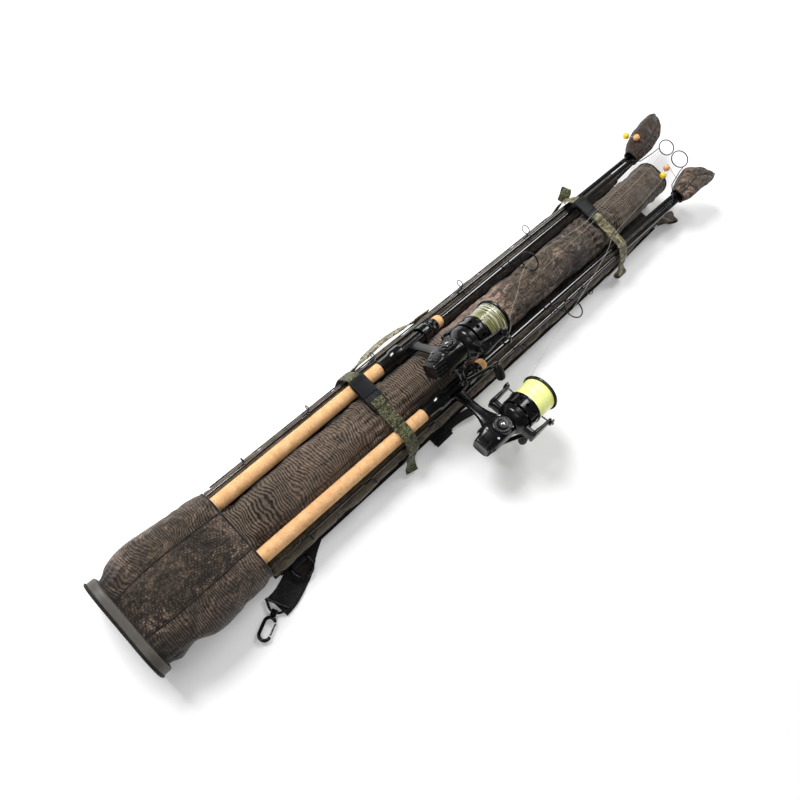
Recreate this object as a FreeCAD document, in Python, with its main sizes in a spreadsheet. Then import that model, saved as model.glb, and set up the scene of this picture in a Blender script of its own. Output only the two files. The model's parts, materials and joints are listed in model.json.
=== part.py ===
import FreeCAD, Part
import Sketcher
import math
import os

# Loaded rod case: a flat padded back with a central sleeve, a moulded foot and
# butt pocket, two tip cups and two buckled straps, carrying two folded
# two-piece rods with their reels.  Millimetres.
# Origin at the centre of the foot's outer face, +X from the foot to the rod
# tips, +Y to the left, +Z up with the case lying on its back.
# Pieces are drawn with Z = 0 on the resting plane, then placed half a foot
# height lower.

V = FreeCAD.Vector
Rotation = FreeCAD.Rotation
X_AXIS, Y_AXIS, Z_AXIS = (1, 0, 0), (0, 1, 0), (0, 0, 1)
SIDES = (("left", 1), ("right", -1))

doc = FreeCAD.newDocument("rod_case")
sheet = doc.addObject("Spreadsheet::Sheet", "Sizes")
aliases = []
pieces = {}


# ---- Sizes that remember their formula ------------------------------------
class Size(float):
    """A number that carries the sheet formula it comes from."""

    def __new__(cls, value, text):
        made = super().__new__(cls, value)
        made.text = text
        return made

    def __add__(self, other):
        return joined(float.__add__, self, "+", other)

    def __radd__(self, other):
        return joined(float.__add__, other, "+", self)

    def __sub__(self, other):
        return joined(float.__sub__, self, "-", other)

    def __rsub__(self, other):
        return joined(float.__sub__, other, "-", self)

    def __mul__(self, other):
        return joined(float.__mul__, self, "*", other)

    def __rmul__(self, other):
        return joined(float.__mul__, other, "*", self)

    def __truediv__(self, other):
        return joined(float.__truediv__, self, "/", other)

    def __neg__(self):
        return -1 * self


def formula(value):
    return value.text if isinstance(value, Size) else "%g" % value


def joined(operate, left, sign, right):
    text = "(%s %s %s)" % (formula(left), sign, formula(right))
    return Size(operate(float(left), float(right)), text)


def size(alias, value):
    """Enter a driving dimension in the sheet."""
    aliases.append(alias)
    row = len(aliases)
    sheet.set("A%d" % row, alias)
    sheet.set("B%d" % row, "%g" % value)
    sheet.setAlias("B%d" % row, alias)
    return Size(value, "Sizes." + alias)


# ---- Driving dimensions ---------------------------------------------------
# foot
foot_width = size("foot_width", 172)
foot_height = size("foot_height", 100)
foot_corner = size("foot_corner", 43)
sole_thick = size("sole_thick", 4)
tray_depth = size("tray_depth", 13.5)
tray_wall = size("tray_wall", 5)
# butt pocket
pocket_length = size("pocket_length", 200)
pocket_mouth_width = size("pocket_mouth_width", 168)
pocket_mouth_height = size("pocket_mouth_height", 94.5)
pocket_belly_width = size("pocket_belly_width", 180)
pocket_belly_height = size("pocket_belly_height", 103.5)
pocket_wall = size("pocket_wall", 3)
# padded back and sleeve
panel_length = size("panel_length", 1345)
panel_width = size("panel_width", 176)
panel_end_width = size("panel_end_width", 160)
panel_under = size("panel_under", 3.2)
panel_thick = size("panel_thick", 11.4)
board_thick = size("board_thick", 2.4)
board_width = size("board_width", 72)
bolster_width = size("bolster_width", 40)
bolster_height = size("bolster_height", 38.8)
sleeve_width = size("sleeve_width", 86)
sleeve_height = size("sleeve_height", 67.6)
sleeve_end = size("sleeve_end", 1395)
sleeve_wall = size("sleeve_wall", 3)
# straps, buckles and handle
web_width = size("web_width", 25)
web_thick = size("web_thick", 1.8)
lower_strap_x = size("lower_strap_x", 507)
upper_strap_x = size("upper_strap_x", 1150)
buckle_width = size("buckle_width", 33)
socket_length = size("socket_length", 38)
plug_insertion = size("plug_insertion", 25.4)
shoulder_width = size("shoulder_width", 38)
shoulder_thick = size("shoulder_thick", 2.2)
handle_thick = size("handle_thick", 2.6)
handle_width = size("handle_width", 25)
# rods
rod_axis_height = size("rod_axis_height", 71)
rod_axis_side = size("rod_axis_side", 51.7)
rod_splay_deg = size("rod_splay_deg", 0.36)
cork_radius = size("cork_radius", 12.5)
cork_front_radius = size("cork_front_radius", 11.8)
cork_bore = size("cork_bore", 8)
blank_butt_radius = size("blank_butt_radius", 7.6)
blank_joint_radius = size("blank_joint_radius", 5.4)
tip_joint_radius = size("tip_joint_radius", 5.2)
tip_end_radius = size("tip_end_radius", 1.1)
seat_barrel_radius = size("seat_barrel_radius", 10.5)
hood_radius = size("hood_radius", 15.6)
foot_under_hood = size("foot_under_hood", 14.4)
seat_clearance = size("seat_clearance", 0.06)
# reels
reel_drop = size("reel_drop", 112)
reel_station = size("reel_station", 626)
spool_lip_radius = size("spool_lip_radius", 36.5)
spool_line_radius = size("spool_line_radius", 31)
spool_skirt_radius = size("spool_skirt_radius", 32)
rotor_arm_radius = size("rotor_arm_radius", 50)
shaft_radius = size("shaft_radius", 3.5)
shaft_clearance = size("shaft_clearance", 0.05)
crank_length = size("crank_length", 65)
bail_wire_radius = size("bail_wire_radius", 1.25)
# hook and ring
hook_thick = size("hook_thick", 7)
ring_wire = size("ring_wire", 2)
doc.recompute()


# ---- Placing and keeping --------------------------------------------------
def at(x=0, y=0, z=0, rotation=Rotation()):
    return FreeCAD.Placement(V(x, y, z), rotation)


def resting(x=0, y=0, z=0, rotation=Rotation()):
    """Placement given from the resting plane."""
    return at(x, y, z - foot_height / 2, rotation)


def turned(axis, degrees):
    return Rotation(V(*axis), degrees)


def along(direction):
    """Turns +Z to the direction."""
    return Rotation(V(*Z_AXIS), V(*direction))


def keep(obj, label, placement=None):
    """Make the object one of the exported pieces."""
    obj.Label = label
    obj.Placement = placement or resting()
    pieces[label] = obj


def set_size(obj, prop, value):
    setattr(obj, prop, float(value))
    if isinstance(value, Size):
        obj.setExpression(prop, value.text)


# ---- Sketches -------------------------------------------------------------
def new_body(label):
    return doc.addObject("PartDesign::Body", "Body_" + label)


def new_sketch(body, plane, offset=0):
    sketch = body.newObject("Sketcher::SketchObject", "Sketch")
    support = next(f for f in body.Origin.OriginFeatures if f.Role == plane)
    sketch.AttachmentSupport = [(support, "")]
    sketch.MapMode = "FlatFace"
    sketch.AttachmentOffset = at(0, 0, offset)
    if isinstance(offset, Size):
        sketch.setExpression("AttachmentOffset.Base.z", offset.text)
    return sketch


def dimension(sketch, value, *what):
    index = sketch.addConstraint(Sketcher.Constraint(*what, float(value)))
    if isinstance(value, Size):
        sketch.renameConstraint(index, "k%d" % index)
        sketch.setExpression("Constraints.k%d" % index, value.text)


def draw_outline(sketch, points):
    """Closed outline without constraints."""
    for start, end in zip(points, points[1:] + points[:1]):
        sketch.addGeometry(Part.LineSegment(V(*start), V(*end)), False)


def draw_polygon(sketch, points):
    """Closed polygon whose corners are dimensioned from the origin."""
    draw_outline(sketch, points)
    count = len(points)
    for i in range(count):
        sketch.addConstraint(Sketcher.Constraint("Coincident", i, 2, (i + 1) % count, 1))
    for i, (x, y) in enumerate(points):
        dimension(sketch, x, "DistanceX", -1, 1, i, 1)
        dimension(sketch, y, "DistanceY", -1, 1, i, 1)


def draw_rounded(sketch, width, low, high, radius, middle=0):
    """Rounded rectangle about x = middle, from y = low to y = high."""
    x0, x1 = middle - width / 2, middle + width / 2
    left, right = x0 + radius, x1 - radius
    bottom, top = low + radius, high - radius
    quarter = math.pi / 2

    def line(xa, ya, xb, yb):
        sketch.addGeometry(Part.LineSegment(V(xa, ya), V(xb, yb)), False)

    def corner(x, y, turns):
        circle = Part.Circle(V(x, y), V(*Z_AXIS), float(radius))
        arc = Part.ArcOfCircle(circle, turns * quarter, (turns + 1) * quarter)
        sketch.addGeometry(arc, False)

    line(left, low, right, low)
    corner(right, bottom, -1)
    line(x1, bottom, x1, top)
    corner(right, top, 0)
    line(right, high, left, high)
    corner(left, top, 1)
    line(x0, top, x0, bottom)
    corner(left, bottom, 2)
    for i in range(8):
        sketch.addConstraint(Sketcher.Constraint("Tangent", i, 2, (i + 1) % 8, 1))
    for i, kind in ((0, "Horizontal"), (2, "Vertical"), (4, "Horizontal"), (6, "Vertical")):
        sketch.addConstraint(Sketcher.Constraint(kind, i))
    for i in (3, 5, 7):
        sketch.addConstraint(Sketcher.Constraint("Equal", 1, i))
    dimension(sketch, radius, "Radius", 1)
    dimension(sketch, low, "DistanceY", -1, 1, 0, 1)
    dimension(sketch, high, "DistanceY", -1, 1, 4, 1)
    dimension(sketch, x0, "DistanceX", -1, 1, 6, 1)
    dimension(sketch, x1, "DistanceX", -1, 1, 2, 1)


# ---- PartDesign solids ----------------------------------------------------
def pad(body, sketch, length):
    feature = body.newObject("PartDesign::Pad", "Pad")
    feature.Profile = sketch
    set_size(feature, "Length", length)


def loft_body(label, outer, inner=()):
    """Ruled loft along X through rounded rectangles, the inner loft cut away.
    A section is (x, width, low, high, corner radius[, middle y])."""
    body = new_body(label)
    for sections, kind in ((outer, "AdditiveLoft"), (inner, "SubtractiveLoft")):
        if not sections:
            continue
        sketches = []
        for x, *rectangle in sections:
            sketch = new_sketch(body, "YZ_Plane", x)
            draw_rounded(sketch, *rectangle)
            sketches.append(sketch)
        doc.recompute()
        loft = body.newObject("PartDesign::" + kind, "Loft")
        loft.Profile = sketches[0]
        loft.Sections = sketches[1:]
        loft.Ruled = True
        doc.recompute()
    return body


def inset(sections, wall, shifts):
    """Loft sections one wall further in, each shifted along X."""
    return [(x + shift, width - wall * 2, low + wall, high - wall, radius - wall, *middle)
            for (x, width, low, high, radius, *middle), shift in zip(sections, shifts)]


def revolve_body(label, points):
    """Solid of revolution about the local X axis; points are (x, radius)."""
    body = new_body(label)
    sketch = new_sketch(body, "XY_Plane")
    draw_polygon(sketch, points)
    feature = body.newObject("PartDesign::Revolution", "Revolution")
    feature.Profile = sketch
    feature.ReferenceAxis = (sketch, ["H_Axis"])
    feature.Angle = 360.0
    return body


def smooth(stations):
    """Catmull-Rom curve through the stations, three steps to a span."""
    steps = 3
    points = [V(*p) for p in [stations[0]] + stations + [stations[-1]]]
    curve = []
    for p0, p1, p2, p3 in zip(points, points[1:], points[2:], points[3:]):
        for k in range(steps):
            t = k / steps
            curve.append((p1 * 2 + (p2 - p0) * t
                          + (p0 * 2 - p1 * 5 + p2 * 4 - p3) * t ** 2
                          + (p1 * 3 - p0 - p2 * 3 + p3) * t ** 3) * 0.5)
    return curve + [points[-1]]


def ribbon(centre, width):
    """Outline of a band of even width along a centre line."""
    points = [V(*p) for p in centre]
    runs = [(b - a).normalize() for a, b in zip(points, points[1:])]
    one_edge, other_edge = [], []
    for point, before, after in zip(points, runs[:1] + runs, runs + runs[-1:]):
        # a mitred bend is wider across than the band
        stretch = 1 / max(0.5, math.sqrt((1 + before.dot(after)) / 2))
        heading = (before + after).normalize()
        across = V(-heading.y, heading.x) * float(width / 2 * stretch)
        one_edge.append(point + across)
        other_edge.append(point - across)
    return one_edge + other_edge[::-1]


def band_body(label, plane, offset, centre, width, depth):
    """Ribbon drawn in a plane and padded square to it."""
    body = new_body(label)
    sketch = new_sketch(body, plane, offset)
    draw_outline(sketch, ribbon(centre, width))
    pad(body, sketch, depth)
    return body


# ---- Part solids ----------------------------------------------------------
def primitive(kind, placement, **sizes):
    solid = doc.addObject("Part::" + kind, kind)
    for prop, value in sizes.items():
        set_size(solid, prop, value)
    solid.Placement = placement
    return solid


def box(lengths, corner=(0, 0, 0), rotation=Rotation()):
    """Box of (x, y, z) lengths from its lowest corner."""
    length, width, height = lengths
    return primitive("Box", at(*corner, rotation), Length=length, Width=width, Height=height)


def cylinder(radius, height, base, direction=Z_AXIS):
    return primitive("Cylinder", at(*base, along(direction)), Radius=radius, Height=height)


def cone(radius1, radius2, height, base=(0, 0, 0), direction=Z_AXIS):
    return primitive("Cone", at(*base, along(direction)),
                     Radius1=radius1, Radius2=radius2, Height=height)


def torus(ring_radius, wire_radius, centre, direction=Z_AXIS):
    return primitive("Torus", at(*centre, along(direction)),
                     Radius1=ring_radius, Radius2=wire_radius)


def bar(start, end, radius):
    """Round bar between two points."""
    run = V(*end) - V(*start)
    return cylinder(radius, run.Length, start, run)


def combined(kind, name, solids):
    obj = doc.addObject("Part::" + kind, name)
    obj.Shapes = solids
    return obj


def fuse(solids):
    return combined("MultiFuse", "Fuse", solids)


def common(solids):
    return combined("MultiCommon", "Common", solids)


def cut(base, tool):
    obj = doc.addObject("Part::Cut", "Cut")
    obj.Base = base
    obj.Tool = tool
    return obj


def group(solids):
    """Separate solids kept in one piece."""
    obj = doc.addObject("Part::Compound", "Group")
    obj.Links = solids
    return obj


# ===========================================================================
# Moulded foot, butt pocket and padded back
# ===========================================================================
def base_sole():
    body = new_body("base_sole")
    sketch = new_sketch(body, "YZ_Plane")
    draw_rounded(sketch, foot_width, 0, foot_height, foot_corner)
    pad(body, sketch, sole_thick)
    keep(body, "base_sole")


def base_tray():
    """Tray on the sole, hollowed from its +X face."""
    step = 2       # the tray stands in from the sole's edge
    floor = 4
    width, high, corner = foot_width - step * 2, foot_height - step, foot_corner - step
    body = new_body("base_tray")
    sketch = new_sketch(body, "YZ_Plane", sole_thick)
    draw_rounded(sketch, width, step, high, corner)
    pad(body, sketch, tray_depth)
    sketch = new_sketch(body, "YZ_Plane", sole_thick + floor)
    draw_rounded(sketch, width - tray_wall * 2, tray_wall + step, high - tray_wall,
                 corner - tray_wall)
    doc.recompute()
    hollow = body.newObject("PartDesign::Pocket", "Pocket")
    hollow.Profile = sketch
    hollow.Reversed = True     # cuts towards +X
    set_size(hollow, "Length", tray_depth)
    doc.recompute()
    keep(body, "base_tray")


def butt_pocket():
    belly_low, mouth_low = 0.4, 0.5
    outer = [(8.4, 156, 7.6, 92.4, 34),
             (18.5, 156.6, 7.4, 92.6, 34.5),
             (34, 168, 2.5, 97.5, 38),
             (90, pocket_belly_width, belly_low, pocket_belly_height + belly_low, 42),
             (pocket_length, pocket_mouth_width, mouth_low, pocket_mouth_height + mouth_low, 38)]
    # a wall is left at the foot end, and the cut runs out past the mouth
    inner = inset(outer, pocket_wall, (pocket_wall, 0, 0, 0, 0.5))
    keep(loft_body("butt_pocket", outer, inner), "butt_pocket")


def back_panel():
    """Long panel with a narrower, thinner tongue into the pocket."""
    start, taper_start, bevel = 206, 1100, 12
    tongue_start, tongue_half, tongue_under = 40, 52, 7
    half, end_half = panel_width / 2, panel_end_width / 2
    shoulder = panel_length - bevel
    body = new_body("back_panel")
    sketch = new_sketch(body, "XY_Plane", panel_under)
    draw_polygon(sketch, [
        (start, -half), (taper_start, -half), (shoulder, -end_half),
        (panel_length, -end_half + bevel), (panel_length, end_half - bevel),
        (shoulder, end_half), (taper_start, half), (start, half)])
    pad(body, sketch, panel_thick)
    sketch = new_sketch(body, "XY_Plane", tongue_under)
    draw_polygon(sketch, [(tongue_start, -tongue_half), (start + 1, -tongue_half),
                          (start + 1, tongue_half), (tongue_start, tongue_half)])
    pad(body, sketch, panel_thick + panel_under - tongue_under)
    keep(body, "back_panel")


def spine_board():
    board_length = 1286
    keep(box((board_length, board_width, board_thick)), "spine_board",
         resting(44, -board_width / 2, 14.8))


def bolsters():
    low = 15.2
    top = bolster_height + low
    for side, sign in SIDES:
        label = side + "_bolster"
        keep(loft_body(label, [(206, bolster_width, low, top, 14, sign * 67.0),
                               (1100, bolster_width, low, top, 14, sign * 67.0),
                               (1335, bolster_width - 10, low, top - 10, 12, sign * 63.5)]), label)


def tube_sleeve():
    """Tube in six lengthwise gores: top, bottom and four shoulders."""
    low = 17.9
    top = sleeve_height + low
    outer = [(20, sleeve_width - 2, low, top - 2, 31),
             (205, sleeve_width, low, top, 32.5),
             (1150, sleeve_width, low, top - 1.5, 32),
             (sleeve_end, sleeve_width - 6, low, top - 6, 29, 5)]
    # the bore runs out past both ends
    inner = inset(outer, sleeve_wall, (-0.5, 0, 0, 0.5))
    tube = loft_body("tube_sleeve", outer, inner)
    # seams between gores, and limits clear of the tube
    seam_y, seam_z = 11.0, 50.7
    reach_y, bottom, ceiling, reach_x = 60, 10, 100, 1420
    gores = []
    for y0, y1 in ((-seam_y, seam_y), (seam_y, reach_y), (-reach_y, -seam_y)):
        for z0, z1 in ((seam_z, ceiling), (bottom, seam_z)):
            gores.append(common([tube, box((reach_x, y1 - y0, z1 - z0), (0, y0, z0))]))
    keep(group(gores), "tube_sleeve")


def tip_cups():
    """Tapering hoods pulled over both halves of each rod.
    Sections are (x, width, low, high, corner radius, middle y)."""
    cups = {
        "left_tip_cup": (
            [(1376, 44, 57, 91, 15, 71), (1440, 56, 56.5, 95, 17, 78),
             (1490, 48, 60, 90, 13, 92), (1518, 17, 67, 85, 6, 112)],
            [(1375.5, 39, 59.5, 88.5, 13, 71), (1440, 51, 59, 92.5, 14.5, 78),
             (1485, 42, 63, 87, 10, 90.6)]),
        "right_tip_cup": (
            [(1388, 46, 57, 91, 15, -67), (1446, 58, 56.5, 95, 17, -62),
             (1482, 48, 60, 90, 13, -72), (1506, 18, 67, 85, 6, -84)],
            [(1387.5, 41, 59.5, 88.5, 13, -67), (1446, 53, 59, 92.5, 14.5, -62),
             (1476, 42, 63, 87, 10, -70.5)]),
    }
    for label, (outer, inner) in cups.items():
        keep(loft_body(label, outer, inner), label)


def tip_elastics():
    """Two flat bands rising from the top of the back to the cups."""
    slope = turned(Y_AXIS, -36.5)
    bands = [box((58, 16, 2), (1337.5, y, 16.6), slope) for y in (55, -71)]
    keep(group(bands), "tip_elastics")


# ===========================================================================
# Webbing straps with side-release buckles
# ===========================================================================
# (y, z) centre lines over each side of the case
STRAP_RIGHT = [(-27, 87.1), (-54, 87.1), (-68, 84), (-80.5, 70), (-88, 60),
               (-89.8, 50), (-89.8, 5)]
STRAP_LEFT = [(66.6, 88.2), (74, 82.5), (82, 70), (88, 60), (89.8, 50), (89.8, 5)]


def strap(name, strap_x):
    label = name + "_strap"
    bands = [band_body(label + str(i), "YZ_Plane", strap_x - web_width / 2, line,
                       web_thick, web_width)
             for i, line in enumerate((STRAP_RIGHT, STRAP_LEFT))]
    keep(group(bands), label)
    # doubled-back adjusting loop, carried by the plug
    keep(box((web_width, 42.8, 2.2)), name + "_strap_loop",
         resting(strap_x - web_width / 2, -41, 88.6))


def buckle_socket(name, strap_x):
    """Hollow housing with side windows and a slot near its left end."""
    inside_width, inside_low, inside_height = 26, 87.0, 5.2
    shell = box((buckle_width, socket_length, 9.2), (-buckle_width / 2, 28, 84.9))
    hollow = box((inside_width, 30, inside_height), (-inside_width / 2, 27.9, inside_low))
    windows = box((buckle_width + 2, 12, inside_height), (-buckle_width / 2 - 1, 41, inside_low))
    slot = box((inside_width, 3, 12), (-inside_width / 2, 61, 84))
    keep(cut(shell, fuse([hollow, windows, slot])), name + "_buckle_socket", resting(strap_x))


def buckle_plug(name, strap_x):
    """Ladder base, centre tongue and two sprung arms with barbs."""
    prong_low, prong_height = 87.8, 3.6
    base = box((32, 25.6, 7.8), (-16, 2, 85.6))
    slots = fuse([box((25.6, 3, 12), (-12.8, y, 84)) for y in (6, 14)])
    solids = [cut(base, slots), box((5, 22, 3.2), (-2.5, 27, 88.0))]
    for sign in (-1, 1):
        solids.append(box((4, plug_insertion, prong_height), (sign * 8.5 - 2, 27.2, prong_low)))
        solids.append(box((3.4, 6, prong_height), (sign * 10.8 - 1.7, 44, prong_low)))
    keep(fuse(solids), name + "_buckle_plug", resting(strap_x))


def carry_handle():
    """Bowed band on the left edge; stations are (x, y)."""
    stations = [(523, 90.6), (545, 92.5), (575, 98), (622, 102.5), (670, 98),
                (705, 92.5), (734, 90.6)]
    keep(band_body("carry_handle", "XY_Plane", 18, smooth(stations), handle_thick,
                   handle_width), "carry_handle")


def shoulder_strap():
    """Flat band that runs out from under the back at two places on its
    right edge; stations are (x, y)."""
    stations = [(182, -121), (205, -118), (240, -104), (285, -76), (345, -48), (430, -32),
                (510, -40), (562, -58), (588, -84), (590, -110)]
    keep(band_body("shoulder_strap", "XY_Plane", 0.4, smooth(stations), shoulder_width,
                   shoulder_thick), "shoulder_strap")


def strap_adjuster():
    """Three-bar slider near the +X end of the shoulder strap."""
    plate = box((46, 14, 3.6), (-23, -7, 0))
    slots = fuse([box((39, 3.4, 6), (-19.5, y, -1)) for y in (-5, 1.6)])
    keep(cut(plate, slots), "strap_adjuster", resting(589.5, -98.5, 2.9))


# Snap hook at the -X end of the shoulder strap, lying flat.  Its local X runs
# from the swivel to the nose.
HOOK_FRAME = resting(174.0, -123.0, 6.4, turned(Z_AXIS, 205))
stem_radius = shaft_radius - 0.5


def hook_swivel():
    """Four-sided wire eye with a bored collar."""
    eye = [bar((-12, -21, 0), (-12, 21, 0), 2.0),
           bar((-12, -21, 0), (0, -8, 0), 2.0),
           bar((-12, 21, 0), (0, 8, 0), 2.0),
           bar((0, -8, 0), (0, 8, 0), 2.6)]
    collar = cylinder(5.4, 7, (-2.5, 0, 0), X_AXIS)
    bore = cylinder(stem_radius + shaft_clearance, 20, (-6, 0, 0), X_AXIS)
    keep(cut(fuse(eye + [collar]), bore), "hook_swivel", HOOK_FRAME)


def stadium(radius, height):
    """Round-ended slab of the hook's link, centred on Z = 0."""
    start, end = 19, 37
    low = -height / 2
    return fuse([cylinder(radius, height, (start, 0, low)),
                 cylinder(radius, height, (end, 0, low)),
                 box((end - start, radius * 2, height), (start, -radius, low))])


def hook_body():
    stem = cylinder(stem_radius, 12, (-2.4, 0, 0), X_AXIS)
    flange = cylinder(5.2, 3.4, (4.7, 0, 0), X_AXIS)
    gap = box((21, 6, 12), (15.5, 5.9, -6))
    link = cut(cut(stadium(11, hook_thick), stadium(6.2, 12)), gap)
    keep(fuse([stem, flange, link]), "hook_body", HOOK_FRAME)


def hook_gate():
    height = 4.6
    finger = box((19.6, 3.0, height), (16.2, 7.1, -height / 2))
    pivot = cylinder(1.7, height, (17.6, 8.6, -height / 2))
    keep(fuse([finger, pivot]), "hook_gate", HOOK_FRAME)


def d_ring():
    """D-ring on the right edge and the sewn tab around its straight bar."""
    frame = resting(250, -93.2, 9.0)
    half_width, leg = 17, 9
    bars = [bar((-half_width, 0, 0), (half_width, 0, 0), ring_wire)]
    for x in (-half_width, half_width):
        bars.append(bar((x, 0, 0), (x, -leg, 0), ring_wire))
    bow = common([torus(half_width, ring_wire, (0, -leg, 0)),
                  box((60, 40, 10), (-30, -leg - 40, -5))])
    keep(fuse(bars + [bow]), "d_ring", frame)
    bore = cylinder(ring_wire + 0.06, 40, (-20, 0, 0), X_AXIS)
    keep(cut(box((26, 8.4, 7.2), (-13, -3.6, -3.6)), bore), "d_ring_tab", frame)


# ===========================================================================
# Rods: each folded at its joint, butt half beside tip half
# ===========================================================================
BUTT_START = 6            # butt blank's start on the rod's axis
BUTT_LENGTH = 1418
TIP_LENGTH = 1374

# side, sign of y, then how far these turn about the rod from +Y towards +Z,
# in degrees: butt guide, tip guides, reel
ROD_SIDES = (("left", 1, 132, 20, 132),
             ("right", -1, 148, 160, 168))

# first guide of the tip half, in the case's frame: leg points, ring centre,
# ring radius
LONG_GUIDES = {
    "left": ([(1326, 73.2, 73.8), (1342, 73.0, 73.8), (1358, 60, 80.5),
              (1371, 45.0, 84.5), (1420, 42.5, 80), (1456, 43.3, 73.7)],
             (1460, 31.0, 86), 17.5),
    "right": ([(1330, -73.2, 73.8), (1346, -73.0, 73.8), (1364, -60, 80.5),
               (1382, -41, 86), (1424, -30.5, 92), (1446, -28, 92)],
              (1450, -10, 94), 19.0),
}

# (x on the tip blank, ring radius)
TIP_GUIDES = ((948, 9.0), (742, 7.0), (505, 5.5), (352, 4.5), (215, 4.0))


def rod_frame(sign):
    """Local X on the butt half's axis."""
    return resting(14, sign * rod_axis_side, rod_axis_height,
                   turned(Z_AXIS, sign * rod_splay_deg))


def tip_frame(sign):
    """Local X on the tip half's axis, its thin end down in the pocket."""
    lean = Rotation(V(*X_AXIS), V(1372.0, sign * -9.5, 5.0))
    return rod_frame(sign) * at(48, sign * 22.0, -9.0, lean)


def butt_cap(rod, frame):
    bore = cork_bore + 0.4
    keep(revolve_body(rod + "_butt_cap", [(0, 0), (0, 11), (2, 13), (13, 13), (13, bore),
                                          (5.5, bore), (5.5, 0)]), rod + "_butt_cap", frame)


def cork(rod, frame):
    """Long grip behind the reel seat and a short ring in front of it."""
    label = rod + "_cork"
    front = cork_front_radius
    rear_grip = revolve_body(label + "_rear", [
        (13.3, cork_bore), (13.3, cork_radius), (200, cork_radius), (420, front + 0.3),
        (547, front), (547, cork_bore)])
    fore_grip = revolve_body(label + "_fore", [
        (690.8, cork_bore), (690.8, front), (698, front), (705, front - 2.5), (705, cork_bore)])
    keep(group([rear_grip, fore_grip]), label, frame)


def reel_seat(rod, frame):
    """Barrel with its fixed hood, then the sliding hood and its nut."""
    mid = reel_station
    barrel = seat_barrel_radius
    bore = barrel + seat_clearance
    profiles = {
        "_reel_seat": [
            (547.3, cork_bore), (547.3, 12.2), (566, 12.2), (mid - 52, 13),
            (mid - 46, hood_radius), (mid - 26, hood_radius), (mid - 26, foot_under_hood),
            (mid - 42, foot_under_hood), (mid - 42, barrel), (690.5, barrel),
            (690.5, cork_bore)],
        "_seat_hood": [
            (mid + 26, foot_under_hood), (mid + 26, hood_radius), (mid + 42, hood_radius),
            (mid + 47, 13), (mid + 47, bore), (mid + 40, bore), (mid + 40, foot_under_hood)],
        "_seat_nut": [
            (mid + 47.3, bore), (mid + 47.3, 13.2), (mid + 49, 13.8), (mid + 54.5, 13.8),
            (mid + 56, 13), (mid + 56, bore)],
    }
    for ending, points in profiles.items():
        keep(revolve_body(rod + ending, points), rod + ending, frame)


def blanks(rod, sign):
    """Tapered blanks of the butt half and the tip half."""
    keep(cone(blank_butt_radius, blank_joint_radius, BUTT_LENGTH), rod + "_butt_blank",
         rod_frame(sign) * at(BUTT_START, 0, 0, along(X_AXIS)))
    keep(cone(tip_end_radius, tip_joint_radius, TIP_LENGTH), rod + "_tip_blank",
         tip_frame(sign) * at(0, 0, 0, along(X_AXIS)))


def guide(x, degrees, blank_radius, ring_radius, wire, lean, stand=None):
    """Line guide: foot on the blank, two legs and a ring set off sideways.
    lean is how far the ring lies past the foot, stand its centre's height."""
    turn = math.radians(degrees)
    outward = V(0, math.cos(turn), math.sin(turn))
    sideways = V(0, -math.sin(turn), math.cos(turn))
    stand = stand or blank_radius + ring_radius + 3.0
    centre = V(x + lean, 0, 0) + outward * stand
    solids = [torus(ring_radius, wire, centre, X_AXIS)]
    foot = V(x, 0, 0) + outward * (blank_radius + wire * 0.9 + 0.3)
    for sign in (-1, 1):
        leg_end = centre + sideways * (sign * ring_radius * 0.8) - outward * (ring_radius * 0.6)
        solids.append(bar(foot, leg_end, wire * 0.85))
    solids.append(bar(foot - V(14, 0, 0), foot + V(2, 0, 0), wire * 0.9))
    return fuse(solids)


def long_guide(points, centre, ring_radius):
    """Guide with a bent leg that reaches round to its ring."""
    wire = 1.2
    leg_radius = wire * 0.9
    solids = [torus(ring_radius, wire, centre, X_AXIS)]
    solids += [bar(start, end, leg_radius) for start, end in zip(points, points[1:])]
    solids += [primitive("Sphere", at(*bend), Radius=leg_radius) for bend in points[1:-1]]
    return fuse(solids)


def blank_radius_at(start, end, fraction):
    return float(start + (end - start) * fraction)


def guides(rod, side, sign, butt_degrees, tip_degrees):
    x = 903.0
    radius = blank_radius_at(blank_butt_radius, blank_joint_radius,
                             (x - BUTT_START) / BUTT_LENGTH)
    butt_guide = guide(x, butt_degrees, radius, ring_radius=20.0, wire=1.3, lean=16, stand=45.0)
    butt_guide.Placement = rod_frame(sign)
    first = long_guide(*LONG_GUIDES[side])
    first.Placement = resting()
    items = [butt_guide, first]
    for x, ring_radius in TIP_GUIDES:
        radius = blank_radius_at(tip_end_radius, tip_joint_radius, x / TIP_LENGTH)
        item = guide(x, tip_degrees, radius, ring_radius, wire=0.8, lean=4)
        item.Placement = tip_frame(sign)
        items.append(item)
    keep(group(items), rod + "_guides", at())


# ===========================================================================
# Reels: local X along the rod towards its joint, local Y away from the rod,
# local Z the handle side; the local origin lies on the rod's axis at the
# middle of the reel foot.  Rotor, spool and bail have their origin on the
# spool's axis instead.
# ===========================================================================
spool_bore = shaft_radius + shaft_clearance


def reel_body(reel, frame):
    """Foot, stem, gearbox, handle boss and main shaft in one."""
    drop = reel_drop
    foot = fuse([box((68, 2.4, 11), (-34, 10.8, -5.5)),
                 box((46, 4.6, 12), (-23, 10.8, -6)),
                 box((26, drop - 38, 9), (-16, 14, -4.5))])
    gearbox = box((52, 46, 40), (-40, drop - 27, -19))
    tail = box((20, 34, 30), (-58, drop - 19, -15))
    boss = cylinder(15, 11, (-4, drop, 20.5))
    shaft = cylinder(shaft_radius, 104, (10, drop, 0), X_AXIS)
    keep(fuse([foot, gearbox, tail, boss, shaft]), reel + "_body", frame)


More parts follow.
